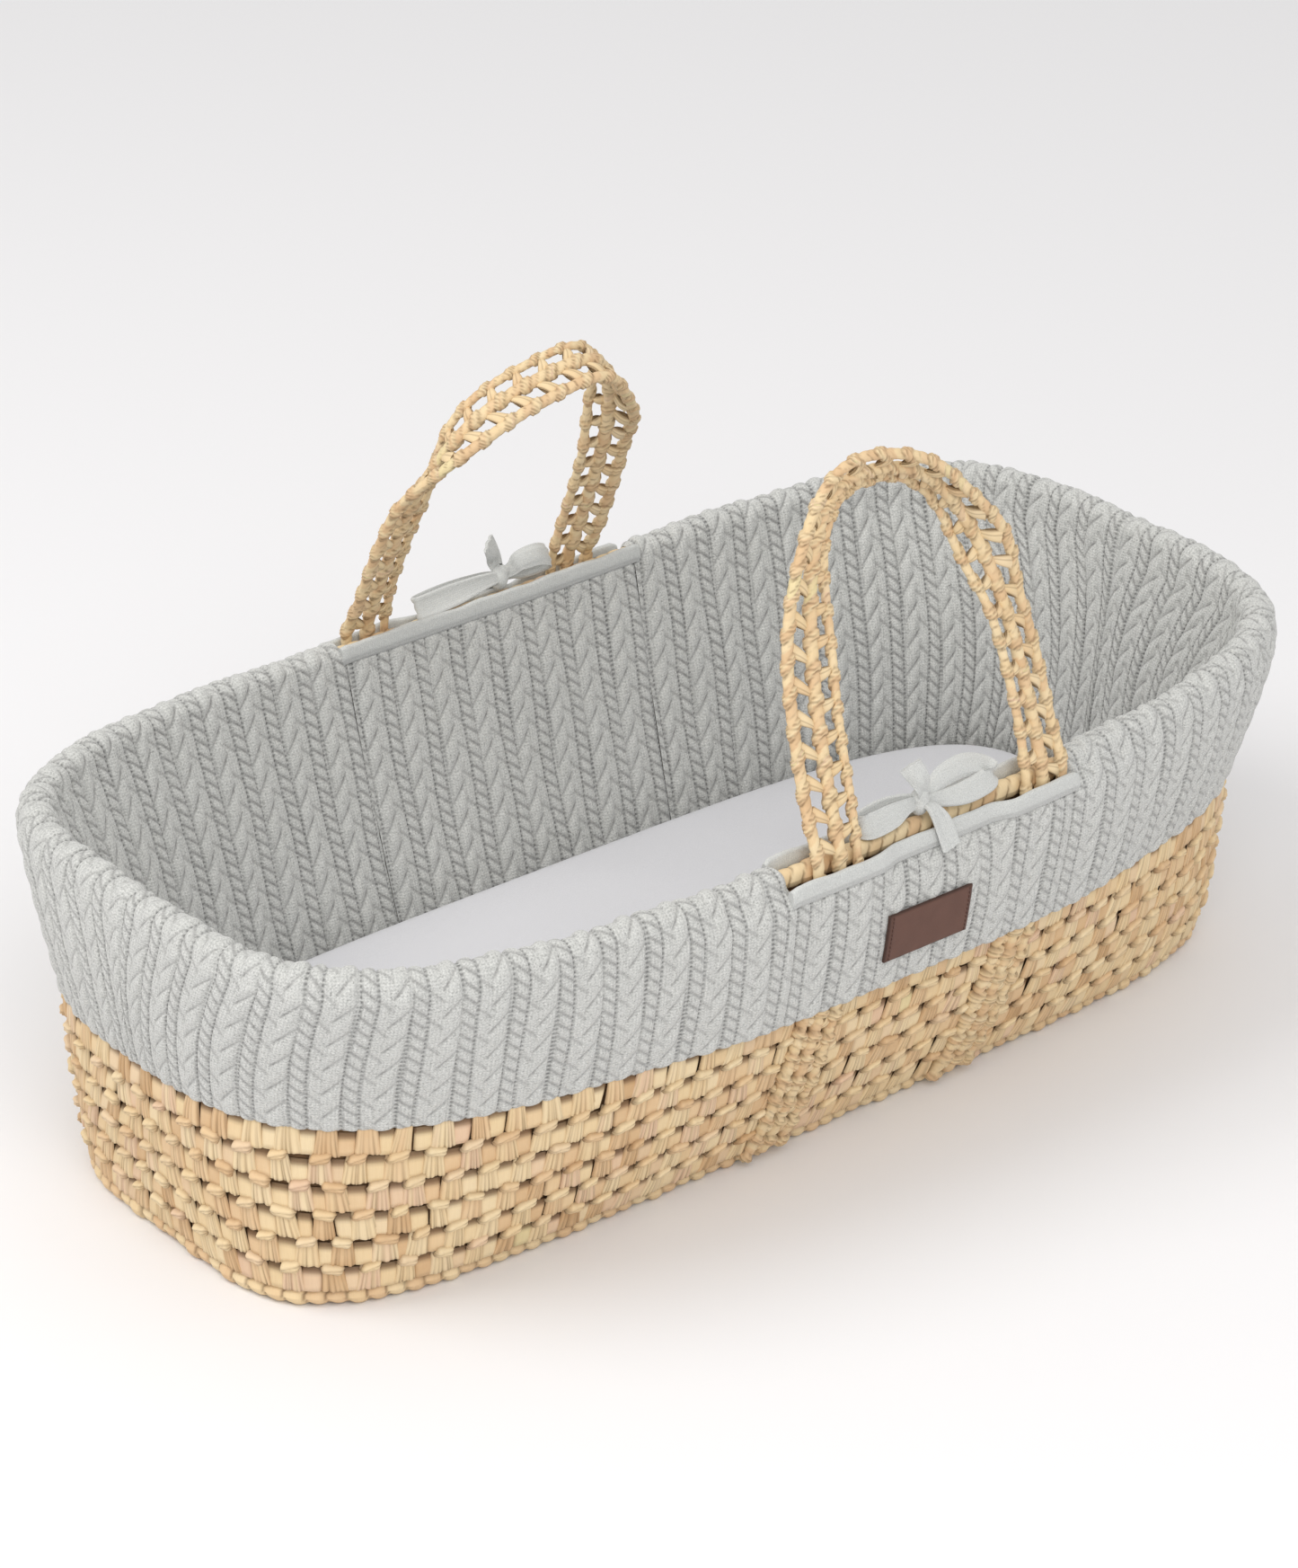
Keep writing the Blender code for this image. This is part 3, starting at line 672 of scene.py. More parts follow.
def add_knots(pieces, ring, centre, low, band):
    """The gathered wraps that grip the row above, at the head of each fan."""
    count = len(centre)
    a, b = patch_grid(np.linspace(-1, 1, 15), np.linspace(-1, 1, 11))
    half = KNOT_HALF[0] + scatter(count, 0.0007)
    tall = KNOT_HALF[1] + scatter(count, 0.0005)
    round_end = np.sqrt(np.clip(1 - a**4, 0, 1)) * between(0.78, 1, np.abs(a))
    across = a * half + 0.0010 * b + scatter(count, 0.0005)
    swing = 0.0012 * a * random.choice([-1, 1, 1], (count, 1, 1))
    up = ROW_PITCH - KNOT_DROP + b * tall * between(0.3, 1, round_end) + swing
    dome = np.sqrt(np.clip(1 - 0.98 * b**2, 0, 1)) * between(0.15, 1, round_end)
    line = bell(b - 0.35 * a, 0.14) + bell(b + 0.55 - 0.2 * a, 0.12)
    offset = KNOT_PROUD[0] + KNOT_PROUD[1] * dome - 0.0010 * line
    # Painted shade along the twist lines and round the edges of the knot.
    fold = 0.5 * line * np.abs(a) ** 0.5 + 0.6 * np.abs(b) ** 6 + 0.4 * np.abs(a) ** 8
    tone = leaf_tones(count, band) + 0.06
    wall_patch(pieces, ring, centre, low, across, up, offset, tone, fold, (up, across))


def make_palm_rows(material):
    pieces = Pieces()
    for row in range(ROWS):
        low = BASE_COIL_HEIGHT + row * ROW_PITCH
        ring = ring_at(low + ROW_PITCH / 2)
        count = round(ring.total / PALM_REPEAT)
        repeat = ring.total / count
        shift = (0.5 * row + 0.12 * math.sin(3.3 * row)) % 1
        centre = (np.arange(count) + shift) * repeat + 0.0007 * random.standard_normal(count)
        add_flats(pieces, ring, centre + repeat / 2, low, row)
        add_fans(pieces, ring, centre, low, row)
        if row < ROWS - 1:
            add_knots(pieces, ring, centre, low, row)
    attach(pieces.make("palm_rows", material), "basket", "palm_leaf")


# Wrapped cords. A line is a path with the vectors across the cord and out from it.


def unit(vectors):
    return vectors / np.maximum(np.linalg.norm(vectors, axis=-1, keepdims=True), 1e-12)


def repeated(vector, points):
    return np.tile(np.array(vector, float), (len(points), 1))


def interpolated(wanted, lengths, line):
    """A line of vectors, read off at these lengths."""
    return np.stack([np.interp(wanted, lengths, column) for column in line.T], -1)


def resample(step, points, *others):
    """A path at an even step, with the vectors that belong to it."""
    lengths = lengths_along(points)
    wanted = np.linspace(0, lengths[-1], max(int(lengths[-1] / step) + 1, 3))
    evened = [interpolated(wanted, lengths, line) for line in (points, *others)]
    return [evened[0]] + [unit(line) for line in evened[1:]]


def even_wraps(part, index, swell):
    """Relief, painted shade lines between the wraps, and strip numbers of a coil wrapped evenly."""
    relief = swell * (np.sin(math.pi * part) ** 0.6 - 0.5 + 0.8 * (pick(TONES, index + 3) - 0.5))
    return relief, bell(from_edge(part), 0.07), index * 3


def knuckle_wraps(part, index, turn, knuckle):
    """The same for a cord with three tight wraps at each knuckle and smooth lengths between."""
    tight = part < TIGHT_SHARE
    fine = part / TIGHT_SHARE * 3
    in_fine = fine - np.floor(fine)
    smooth = (part - TIGHT_SHARE) / (1 - TIGHT_SHARE)
    halves = (smooth + 0.12 * np.sin(turn + 2 * index)) * 2 % 1
    tight_relief = 0.0005 + 0.0005 * np.sin(math.pi * in_fine)
    smooth_relief = 0.0004 * np.sin(math.pi * smooth) + 0.0003 * np.sin(math.pi * halves) - 0.0007
    # Painted shade lines between the tight wraps and between the smooth lengths.
    tight_line = 0.85 * bell(from_edge(in_fine), 0.17)
    half_line = pick(TONES, index + 5) * bell(from_edge(halves), 0.07)
    smooth_line = np.maximum(bell(from_edge(smooth), 0.05), half_line)
    strip = index * 6 + np.where(tight, np.floor(fine), 4 + (smooth > 0.5))
    relief = np.where(tight, tight_relief, smooth_relief) * knuckle
    return relief, np.where(tight, tight_line, smooth_line), strip


def cord(pieces, line, half_width, half_depth, phase, ring=False, wraps=0, knuckle=1.0, swell=0.0008):
    """A cord wrapped in leaf: evenly where wraps gives a pitch, or else with knuckles."""
    points, across, out = line
    length = lengths_along(points)[:, None]
    turn = TAU * np.arange(CORD_SIDES + 1)[None, :] / CORD_SIDES
    slant = 0.0028 * np.cos(turn + phase) + 0.0012 * np.sin(2 * turn + phase * 3)
    where = (length + slant) / (wraps or LINK_PITCH) + phase
    index = np.floor(where)
    if wraps:
        relief, crease, strip = even_wraps(where - index, index, swell)
    else:
        relief, crease, strip = knuckle_wraps(where - index, index, turn, knuckle)
    tone = 0.48 + 0.50 * (pick(TONES, strip + int(phase * 131)) - 0.5)
    tone = tone + np.where(pick(TONES, strip + 17) > 0.90, 0.30, 0)
    section = across[:, None, :] * ((half_width + relief) * np.cos(turn))[..., None]
    section = section + out[:, None, :] * ((half_depth + relief) * np.sin(turn))[..., None]
    placed = points[:, None, :] + section
    uv = stacked(length, turn * half_width) if wraps else stacked(turn * half_width, length)
    # Painted shade in the lines between the wraps.
    pieces.add(placed, uv, ring=ring, tone=tone, fold=0.8 * crease)
    if not ring:
        # The end caps are given a darker tone and painted shade.
        add_caps(pieces, placed, points, tone=0.3, fold=0.3)


def add_caps(pieces, sections, middles, **values):
    """Close both ends of a swept shape, each at its middle point."""
    for end in (0, len(sections) - 1):
        middle = np.repeat(middles[end][None], sections.shape[1], 0)
        pieces.add(np.stack([sections[end], middle]), np.zeros(2), flip=end > 0, **values)


def add_link(pieces, start, end, widths, normal, tone):
    """A leaf stitch across the gap between two cords, wide at one end."""
    along = np.linspace(0, 1, 9)[:, None]
    aside = np.linspace(-1, 1, 9)[None, :]
    run = end - start
    half = between(*widths, along) / 2
    lift = LINK_BOW * np.sin(math.pi * along) + 0.0010 * (1 - aside**2)
    points = start + along[..., None] * run
    points = points + (half * aside)[..., None] * unit(np.cross(normal, run)) + lift[..., None] * normal
    # Painted shade at the stitch's edges and along a crease.
    fold = 0.55 * np.abs(aside) ** 6 + 0.45 * bell(aside - 0.25, 0.13)
    uv = stacked(aside * half, along * 0.01)
    pieces.add(points, uv, tone=tone, fold=fold)
    pieces.add(points - LEAF_THICKNESS * normal, uv, tone=tone, fold=fold, flip=True)


def add_lattice_links(pieces, line, links, phase):
    """Leaf stitches every LINK_PITCH from the middle cord to its neighbours. A link says where
    the neighbour lies, how far along the stitch slips, its widths, and where the first one is."""
    centre, across, out = line
    length = lengths_along(centre)
    for place, slip, widths, first in links:
        for number, station in enumerate(np.arange(first, length[-1] / LINK_PITCH)):
            near = station * LINK_PITCH
            far = np.clip(near + slip, 0, length[-1])
            side_way = unit(interpolated(near, length, across))
            normal = unit(interpolated(near, length, out))
            start = interpolated(near, length, centre) + side_way * math.copysign(0.0030, place)
            end = interpolated(far, length, centre) + side_way * (place - math.copysign(0.0018, place))
            tone = 0.40 + 0.35 * pick(TONES, number * 7 + int(97 * phase) + int(place * 4000))
            for face in (1, -1):
                add_link(pieces, start, end, widths, normal * face, tone)


# The carry straps


def leg_x(side, end):
    return HANDLE_CENTRE_X[side] + HANDLE_HALF_SPAN * (2 * end - 1)


def strap_point(side, end, z, across, offset):
    """The point of a carry strap at this height, this far across from its middle."""
    x = between(STRAP_BASE_X[end], leg_x(side, end), z / HINGE_Z) + across
    return wall(angle_at(side, x, z), z, offset)


def make_wall_strap(side, end, material):
    """Three wrapped cords lying side by side, which turn under the base at the foot."""
    pieces = Pieces()
    heights = np.linspace(*STRAP_HEIGHTS, 60)
    for number, place in enumerate((-STRAP_REACH, 0, STRAP_REACH)):
        foot = [
            (STRAP_BASE_X[end] + place, toward(side) * (BASE_HALF_WIDTH + 0.004 - back), height)
            for back, height in STRAP_FOOT
        ]
        climb = strap_point(side, end, heights, place, STRAP_SIDE_GAP + STRAP_DEPTH)
        path = np.concatenate([foot, climb])
        across = repeated(ALONG, path)
        out = unit(np.cross(across, unit(np.gradient(path, axis=0)))) * -toward(side)
        line = resample(CORD_STEP, path, across, out)
        grow = np.clip(np.arange(len(line[0])) * CORD_STEP / 0.02, 0.4, 1)[:, None]
        phase = 0.21 + 0.37 * number + end
        cord(pieces, line, STRAP_HALF_WIDTHS[number], STRAP_DEPTH * grow, phase, knuckle=2.0)
        if place == 0:
            add_lattice_links(pieces, [part[8:] for part in line], STRAP_LINKS, 0.3 + end)
    name = f"{side}_{ENDS[end]}_wall_strap"
    attach(pieces.make(name + "_braid", material), "basket", "palm_leaf", name)


def make_base_strap(end, material):
    pieces = Pieces()
    half_run = BASE_HALF_WIDTH - 0.008
    y = np.linspace(-half_run, half_run, 80)
    for number, place in enumerate((-STRAP_REACH, 0, STRAP_REACH)):
        path = stacked(STRAP_BASE_X[end] + place, y, BASE_STRAP_Z)
        line = resample(0.0016, path, repeated(ALONG, path), repeated((0, 0, -1), path))
        cord(pieces, line, 0.0052, 0.0020, 0.4 + 0.3 * number + end)
    name = f"{ENDS[end]}_base_strap"
    attach(pieces.make(name + "_braid", material), "basket", "palm_leaf", name)


# The handles


def arch_point(side, turn):
    """The handle's centre line in its own plane, x along the rim and y up the handle."""
    height = HANDLE_HEIGHT[side]
    roundness = HANDLE_ROUNDNESS[side]
    angle = math.pi - np.clip(turn, 0, math.pi)
    along = np.abs(np.cos(angle)) ** (2 / roundness)
    aside = np.maximum(1 - along**roundness, 0) ** (1 / roundness)
    x = np.copysign(along * HANDLE_HALF_SPAN, np.cos(angle))
    y = aside * height
    tilt = 1 + HANDLE_SKEW[side] * x / HANDLE_HALF_SPAN * y / height
    return np.stack([x + HANDLE_SWAY[side] * y, y * tilt, 0 * y], -1)


def hinge_place(side, rise=0.0):
    return (HANDLE_CENTRE_X[side], toward(side) * (RIM_HALF_WIDTH + HINGE_OFFSET), HINGE_Z + rise)


def handle_line(side):
    """Centre line, across and out vectors of the whole handle, from the left leg to the right."""
    share = np.linspace(0, 1, 200)
    turns = np.concatenate([share * math.pi / 2, np.arccos(-(share**1.3))])
    turns = np.unique(np.concatenate([turns, math.pi - turns]))
    (arch,) = resample(CORD_STEP, arch_point(side, turns))
    run = unit(np.gradient(arch, axis=0))
    lean = HANDLE_LEAN[side]
    inward = -toward(side)
    up = np.array([0, inward * math.sin(lean), math.cos(lean)])
    through = np.array([0, inward * math.cos(lean), -math.sin(lean)])
    along = np.array(ALONG)
    tangent = run[:, :1] * along + run[:, 1:2] * up
    outwards = -run[:, 1:2] * along + run[:, :1] * up
    at_top = eased((arch[:, 1] - TWIST_START) / (TWIST_END - TWIST_START))
    top_twist = between(*TOP_TWIST[side], eased(0.5 + 0.5 * arch[:, 0] / HANDLE_HALF_SPAN))
    twist = between(LEG_TWIST * eased(arch[:, 1] / 0.04), top_twist, at_top)[:, None]
    across = outwards * np.cos(twist) + through * np.sin(twist)
    centre = hinge_place(side) + arch[:, :1] * along + arch[:, 1:2] * up
    return centre, across, unit(np.cross(tangent, across))


def leg_below(side, end, place):
    """The strap's cord from under the skirt up to the hinge: the handle's hidden root."""
    across = place if end else -place
    heights = np.linspace(0.206, HINGE_Z - 0.008, 12)
    points = strap_point(side, end, heights, across, STRAP_SIDE_GAP + 0.0042)
    return points if end == 0 else points[::-1]


def make_handle(side, material):
    centre, across, out = handle_line(side)
    for number, (name, place) in enumerate(CORD_PLACE.items()):
        left, right = (leg_below(side, end, place) for end in (0, 1))
        path = np.concatenate([left, (centre + across * place)[3:-3], right])
        vectors = (
            np.concatenate([repeated(each[0], left), each[3:-3], repeated(each[-1], right)])
            for each in (across, out)
        )
        line = resample(CORD_STEP, path, *vectors)
        for _ in range(6):
            smooth_once(line[0])
        pieces = Pieces()
        phase = 0.13 + 0.41 * number
        cord(pieces, line, CORD_HALF_WIDTH[name], CORD_HALF_DEPTH[name], phase, knuckle=1.15)
        if name == "middle":
            add_lattice_links(pieces, [part[26:-26] for part in line], HANDLE_LINKS, 0.7)
        piece = pieces.make(f"{side}_handle_{name}_braid", material)
        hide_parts(f"{side}_handle_{name}_cord")
        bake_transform(piece)


# The base and the rim


def outwards_at(angle, height):
    return unit(wall(angle, height, 0.01) - wall(angle, height, 0))


def make_base_coil(material):
    pieces = Pieces()
    _, angle = Ring(lambda turn: wall(turn, 0, -0.005)).evenly(0.0014)
    path = wall(angle, 0, -0.0010)
    path[:, 2] = BASE_COIL_HEIGHT / 2 + 0.0004
    line = (path, outwards_at(angle, 0), repeated(UP, path))
    cord(pieces, line, 0.0072, 0.0055, 0.2, ring=True, wraps=BASE_WRAP, swell=0.0024)
    pieces.points[0][:, 2] = np.maximum(pieces.points[0][:, 2], 0.0001)
    attach(pieces.make("base_edge_wraps", material), "basket", "palm_leaf", "base_edge_coil")


def mat_point(angle, inset):
    """One round of the base mat: the base's outline, pulled in."""
    half_length = BASE_HALF_LENGTH - inset
    half_width = max(BASE_HALF_WIDTH - inset, 0.004)
    squareness = between(BASE_SQUARENESS, 2.6, min(inset / BASE_HALF_WIDTH, 1))
    x, y, _, _ = outline(angle, half_length, half_width, squareness)
    return stacked(x, y, MAT_HEIGHT)


def make_base_mat(material):
    """The flat rounds of the base, seen from below and when the mattress is out, on a disc painted dark as
    shade between the rounds.
    """
    pieces = Pieces()
    for number in range(MAT_ROUNDS):
        inset = BASE_COIL_WIDTH + MAT_PITCH / 2 - 0.002 + number * MAT_PITCH
        _, angle = Ring(lambda turn: mat_point(turn, inset)).evenly(0.0022)
        path = mat_point(angle, inset)
        run = unit(np.roll(path, -1, 0) - np.roll(path, 1, 0))
        up = repeated(UP, path)
        line = (path, unit(np.cross(run, up)), up)
        half = MAT_PITCH / 2 if number < MAT_ROUNDS - 1 else 0.0085
        cord(pieces, line, half, 0.0030, 0.3 * number, ring=True, wraps=MAT_WRAP)
    turn = np.linspace(0, TAU, 160)
    disc = np.stack([mat_point(turn, 0.006) * (share, share, 1.0) for share in np.linspace(0, 1, 12)])
    # Painted shade: a dark disc behind the rounds.
    pieces.add(disc, disc[..., :2], tone=0.2, fold=0.45)
    attach(pieces.make("base_mat_rounds", material), "basket", "palm_leaf", "base_mat")


def make_rim_coil(material):
    pieces = Pieces()
    _, angle = ring_at(RIM_HEIGHT).evenly(0.0015)
    path = wall(angle, RIM_HEIGHT, -RIM_COIL_RADIUS)
    path[:, 2] = rim_height(angle)
    line = (path, outwards_at(angle, RIM_HEIGHT), repeated(UP, path))
    radius = RIM_COIL_RADIUS - 0.0002
    cord(pieces, line, radius, radius, 0.6, ring=True, wraps=RIM_WRAP)
    attach(pieces.make("rim_coil_wraps", material), "basket", "palm_leaf", "rim_coil")


# The knitted liner


def slot_pull_in(angle, height):
    """How far the skirt is drawn in to the rim between a handle's legs."""
    place = wall(angle, RIM_HEIGHT, 0)
    centre = np.where(place[..., 1] < 0, HANDLE_CENTRE_X["front"], HANDLE_CENTRE_X["back"])
    from_leg = HANDLE_HALF_SPAN - LEG_CLEARANCE - np.abs(place[..., 0] - centre)
    near_top = 1 - (rim_height(angle) - height) / SLOT_PULL_DEPTH
    return SLOT_PULL_IN * eased(from_leg / SLOT_PULL_EASE) * eased(near_top)


def skirt_offset(angle, height):
    top = rim_height(angle)
    drop = (top - height) / (top - HEM_HEIGHT)
    at_end = LINER_END_OFFSET + LINER_BULGE * np.sin(math.pi * np.clip(drop, 0, 1))
    over_straps = between(at_end, LINER_SIDE_OFFSET, eased((top - height) / LINER_STEP_OUT))
    return between(at_end, over_straps, side_panel_share(angle)) - slot_pull_in(angle, height)


def inner_offset(angle, height):
    climb = np.clip(height / rim_height(angle), 0, 1)
    at_rim = 2 * RIM_COIL_RADIUS + LINER_THICKNESS / 2 + 2 * GAP
    return -at_rim - LINER_PULL_IN * 4 * climb * (1 - climb)


def skirt_path(angle, top):
    """(offset, height) points up the skirt, with the hem's curl first."""
    z = between(HEM_HEIGHT, top[:, None], np.linspace(0, 1, 16)[None, :])
    turn = np.linspace(-0.7 * math.pi, -0.1 * math.pi, 6)[None, :]
    curl_z = HEM_HEIGHT + HEM_CURL * np.sin(turn) + 0 * z[:, :1]
    curl_out = skirt_offset(angle[:, None], curl_z) - HEM_CURL * (1 - np.cos(turn))
    return np.concatenate([stacked(curl_out, curl_z), stacked(skirt_offset(angle[:, None], z), z)], 1)


def roll_path(angle):
    radius = RIM_COIL_RADIUS + LINER_THICKNESS / 2 + 2 * GAP
    turn = np.linspace(0, math.pi, 13)[None, :]
    height = rim_height(angle)[:, None]
    return stacked(-RIM_COIL_RADIUS + radius * np.cos(turn), height + radius * np.sin(turn))


def inner_path(angle, top):
    """(offset, height) points down the inner wall, and in along the foot's flap."""
    floor = BASE_COIL_HEIGHT + GAP + LINER_THICKNESS / 2
    z = between(top[:, None], floor + LINER_FOLD, np.linspace(0, 1, 24)[None, :])
    foot = inner_offset(angle, 0 * angle)[:, None]
    ends = ((0.0, LINER_THICKNESS), (-0.001, 0.0), (-LINER_FLAP, 0.0))
    foot_part = [stacked(foot + out, floor + rise) for out, rise in ends]
    return np.concatenate([stacked(inner_offset(angle[:, None], z), z), *foot_part], 1)


def full_path(angle):
    roll = roll_path(angle)
    outside = skirt_path(angle, roll[:, 0, 1] - 0.006)
    return np.concatenate([outside, roll, inner_path(angle, roll[:, -1, 1] - 0.010)], 1)


def twisted_column(place, v, column, phase, sharp=1.0):
    """A column of slanting stitches crossing one over the next: its height and its creases."""
    x = np.clip((place - column["middle"]) / column["half"], -1, 1)
    part = (v / column["pitch"] + column["slant"] * x + phase) % 1
    dome = np.sqrt(1 - x**2)
    ridge = np.sqrt(np.clip(1 - (2 * part - 1) ** 2, 0, 1)) ** sharp
    crease = bell(from_edge(part), CREASE_WIDTH / column["pitch"]) * (dome > 0.1)
    return column["height"] * dome**0.8 * between(0.25, 1, ridge), crease


def knit_relief(u, v):
    """Height of the cable knit, how deep in a gutter a point is, and where strands crease."""
    sway = 0.0009 * np.sin(v * 43 + np.floor(u / KNIT_REPEAT) * 2.1) + 0.0006 * np.sin(v * 17 + u * 9)
    column = np.floor((u + sway) / KNIT_REPEAT)
    place = u + sway - column * KNIT_REPEAT
    phase = pick(TONES, column + 40)
    rope, rope_crease = twisted_column(place, v, ROPE, phase)
    right, right_crease = twisted_column(place, v, RIGHT_STRAND, 0.3 * phase, 1.6)
    left, left_crease = twisted_column(place, v, LEFT_STRAND, 0.3 * phase + 0.5, 1.6)
    height = np.maximum(np.maximum(rope, right), left)
    gutter = sum(bell(place - at, GUTTER_WIDTH) for at in (*GUTTERS, KNIT_REPEAT + GUTTERS[0]))
    tuck = bell(place - TUCK_PLACE, 0.0012) * right_crease
    crease = np.where(rope > 0, rope_crease, 0.7 * np.maximum(right_crease, left_crease) + 0.6 * tuck)
    return height, np.clip(gutter, 0, 1), crease


def even_cloth(coarse):
    """Points at an even step along each path across the cloth, smoothed, and how far along."""
    lengths = np.array([lengths_along(path) for path in coarse])
    rows = int(lengths[:, -1].mean() / KNIT_STEP)
    v = np.linspace(0, 1, rows) * lengths[:, -1:]
    path = np.stack([interpolated(*strip) for strip in zip(v, lengths, coarse)])
    for _ in range(3):
        smooth_once(path.swapaxes(0, 1))
    return path, v


def knit_panel(name, node, seams, path_at, scale_at, material):
    """One panel of the liner as displaced cloth: u runs round the basket and v along the cloth."""
    ring = ring_at(RIM_HEIGHT)
    first, last = (ring.length(seam) for seam in seams)
    u = np.linspace(first + 0.00005, last - 0.00005, int((last - first) / KNIT_STEP))
    angle = ring.angle(u)
    path, v = even_cloth(path_at(angle))
    u, angle = u[:, None], angle[:, None]
    run = unit(np.gradient(path, axis=1))
    normal = np.stack([run[..., 1], -run[..., 0]], -1)
    height, gutter, crease = knit_relief(u - first, v)
    seam = np.clip(np.minimum(u - first, last - u) / 0.004, 0, 1)
    hem = np.clip(np.minimum(v, v[:, -1:] - v) / 0.005, 0, 1)
    scale = scale_at(path)
    lift = 0.0004 + height * scale * between(0.25, 1, seam) * between(0.05, 1, hem) - 0.0005 * (1 - seam)
    over_rim = np.clip((path[..., 1] - rim_height(angle)) / 0.004 + 1, 0, 1)
    lift = lift - 0.0022 * (1 - seam) * over_rim
    ripple = 0.0006 * np.sin(u * 61 + v * 23) * np.sin(v * 37)
    placed = path + normal * (lift + ripple)[..., None]
    gutter = gutter * between(0.6, 1, np.clip(scale, 0, 1))
    pieces = Pieces()
    points = wall(angle, placed[..., 1], placed[..., 0])
    # The gutter and crease values paint shade into the knit.
    pieces.add(points, stacked(u, v), gutter=gutter, crease=crease * scale)
    piece = attach(pieces.make(name, material), "basket", "cable_knit", node)
    return piece, (float(last - first), float(v[:, -1].mean()))


def binding_edge(angle, layer):
    return rim_height(angle) + BINDING_TOP[layer] - BINDING_WIDTH


def slot_angles(side):
    """The two seams beside a handle's slot, anticlockwise."""
    return sorted(float(angle_at(side, x)) for x in SLOT_ENDS[side])


def end_scale(path):
    """Flatter where the cloth is stretched outside and over the rim, deepest inside."""
    return between(0.85, 1.05, np.clip((-path[..., 0] - 0.006) / 0.008, 0, 1))


def make_liner(material):
    """The six panels: each with its cut size, how it is held and the strips sewn to it."""
    slots = {side: slot_angles(side) for side in ("front", "back")}
    ends = {
        "right": (slots["front"][1], slots["back"][0]),
        "left": (slots["back"][1], slots["front"][0] + TAU),
    }
    panels = []
    for end, seams in ends.items():
        names = (f"liner_{end}_end_knit", f"liner_{end}_end_panel")
        made = knit_panel(*names, seams, full_path, end_scale, material)
        panels.append((*made, "draped", ["skirt_hem_band"]))
    kinds = (
        ("skirt", "outer", skirt_path, 0.85, "draped", ["skirt_hem_band"]),
        ("inner", "inner", inner_path, 1.0, "stretched", []),
    )
    for side, seams in slots.items():
        for kind, layer, path_from, relief, held, hem in kinds:
            made = knit_panel(
                f"liner_{side}_{kind}_knit",
                f"liner_{side}_{kind}_panel",
                seams,
                lambda angle: path_from(angle, binding_edge(angle, layer) + BINDING_OVERLAP),
                lambda path: np.full(path.shape[:2], relief),
                material,
            )
            trim = [*hem, f"liner_{side}_{layer}_binding_strip", f"{side}_{layer}_tie_loop"]
            panels.append((*made, held, trim))
    return panels


def make_binding(side, layer, material):
    """A folded strip of jersey over the cut edge, with a stitched groove near its lower edge."""
    outer = layer == "outer"
    face = 1 if outer else -1
    ring = ring_at(RIM_HEIGHT)
    first, last = (ring.length(seam) for seam in slot_angles(side))
    u = np.linspace(first - BINDING_TUCK, last + BINDING_TUCK, int((last - first) / 0.0014))
    angle = ring.angle(u)
    tucked = np.clip((BINDING_TUCK - np.minimum(u - u[0], u[-1] - u)) / BINDING_TUCK, 0, 1)
    low = binding_edge(angle, layer) - 0.0020 * tucked
    middle = (skirt_offset if outer else inner_offset)(angle, low - 4 * GAP) - 0.0016 * face * tucked
    half = BINDING_THICKNESS / 2
    straight = BINDING_WIDTH - half
    turn = np.linspace(0, math.pi, 9)[1:-1]
    rise = np.linspace(0, 1, 8)
    flat = half + 0 * rise
    profile_out = np.concatenate([[0.2 * half], flat, half * np.cos(turn), -flat, [-0.2 * half]])
    up_one_side = np.concatenate([[0.0004], rise * straight])
    profile_up = np.concatenate([up_one_side, straight + half * np.sin(turn), up_one_side[::-1]])
    stitch = bell(profile_up - 0.0022, 0.0009) * (profile_out * face > 0)
    wave = 0.0004 * np.sin(u * 95)[:, None] + 0.0003 * np.sin(u * 210 + 1)[:, None]
    puff = 0.0007 * np.sin(np.pi * np.clip(profile_up / straight, 0, 1))
    out = middle[:, None] + profile_out * (1 + (puff - 0.0009 * stitch) / half)
    points = wall(angle[:, None], low[:, None] + profile_up + wave * (profile_up / straight), out)
    strip_v = np.cumsum(np.abs(np.gradient(profile_up)) + 0.0002)
    pieces = Pieces()
    # Painted shade in the stitched groove.
    pieces.add(points, stacked(u[:, None], strip_v), fold=0.8 * stitch)
    add_caps(pieces, points, points.mean(1), fold=0.2)
    strip = pieces.make(f"liner_{side}_{layer}_binding_strip", material)
    attach(strip, "basket", "jersey_binding", f"liner_{side}_{layer}_binding")


def make_hem(material):
    """The elastic hem: a narrow gathered band."""
    length, angle = ring_at(HEM_HEIGHT).evenly(0.0016)
    turn = np.linspace(0, TAU, 13)[None, :]
    gather = 0.0005 * np.sin(length * TAU / 0.0048)[:, None] + 0.0004 * np.sin(length * 131)[:, None]
    middle = skirt_offset(angle, HEM_HEIGHT)[:, None] - LINER_THICKNESS / 2
    out = middle + (LINER_THICKNESS / 2 - 0.0006 + gather) * np.cos(turn)
    z = HEM_HEIGHT + 0.0012 + (HEM_BAND_HEIGHT / 2 + 0.6 * gather) * np.sin(turn)
    # Painted shade in the hollows of the gathers.
    fold = np.clip(-gather / 0.0009, 0, 1) * 0.5
    pieces = Pieces()
    uv = stacked(length[:, None], turn * 0.003)
    pieces.add(wall(angle[:, None], z, out), uv, ring=True, fold=fold)
    attach(pieces.make("skirt_hem_band", material), "basket", "jersey_binding", "skirt_hem_elastic")


# The bows


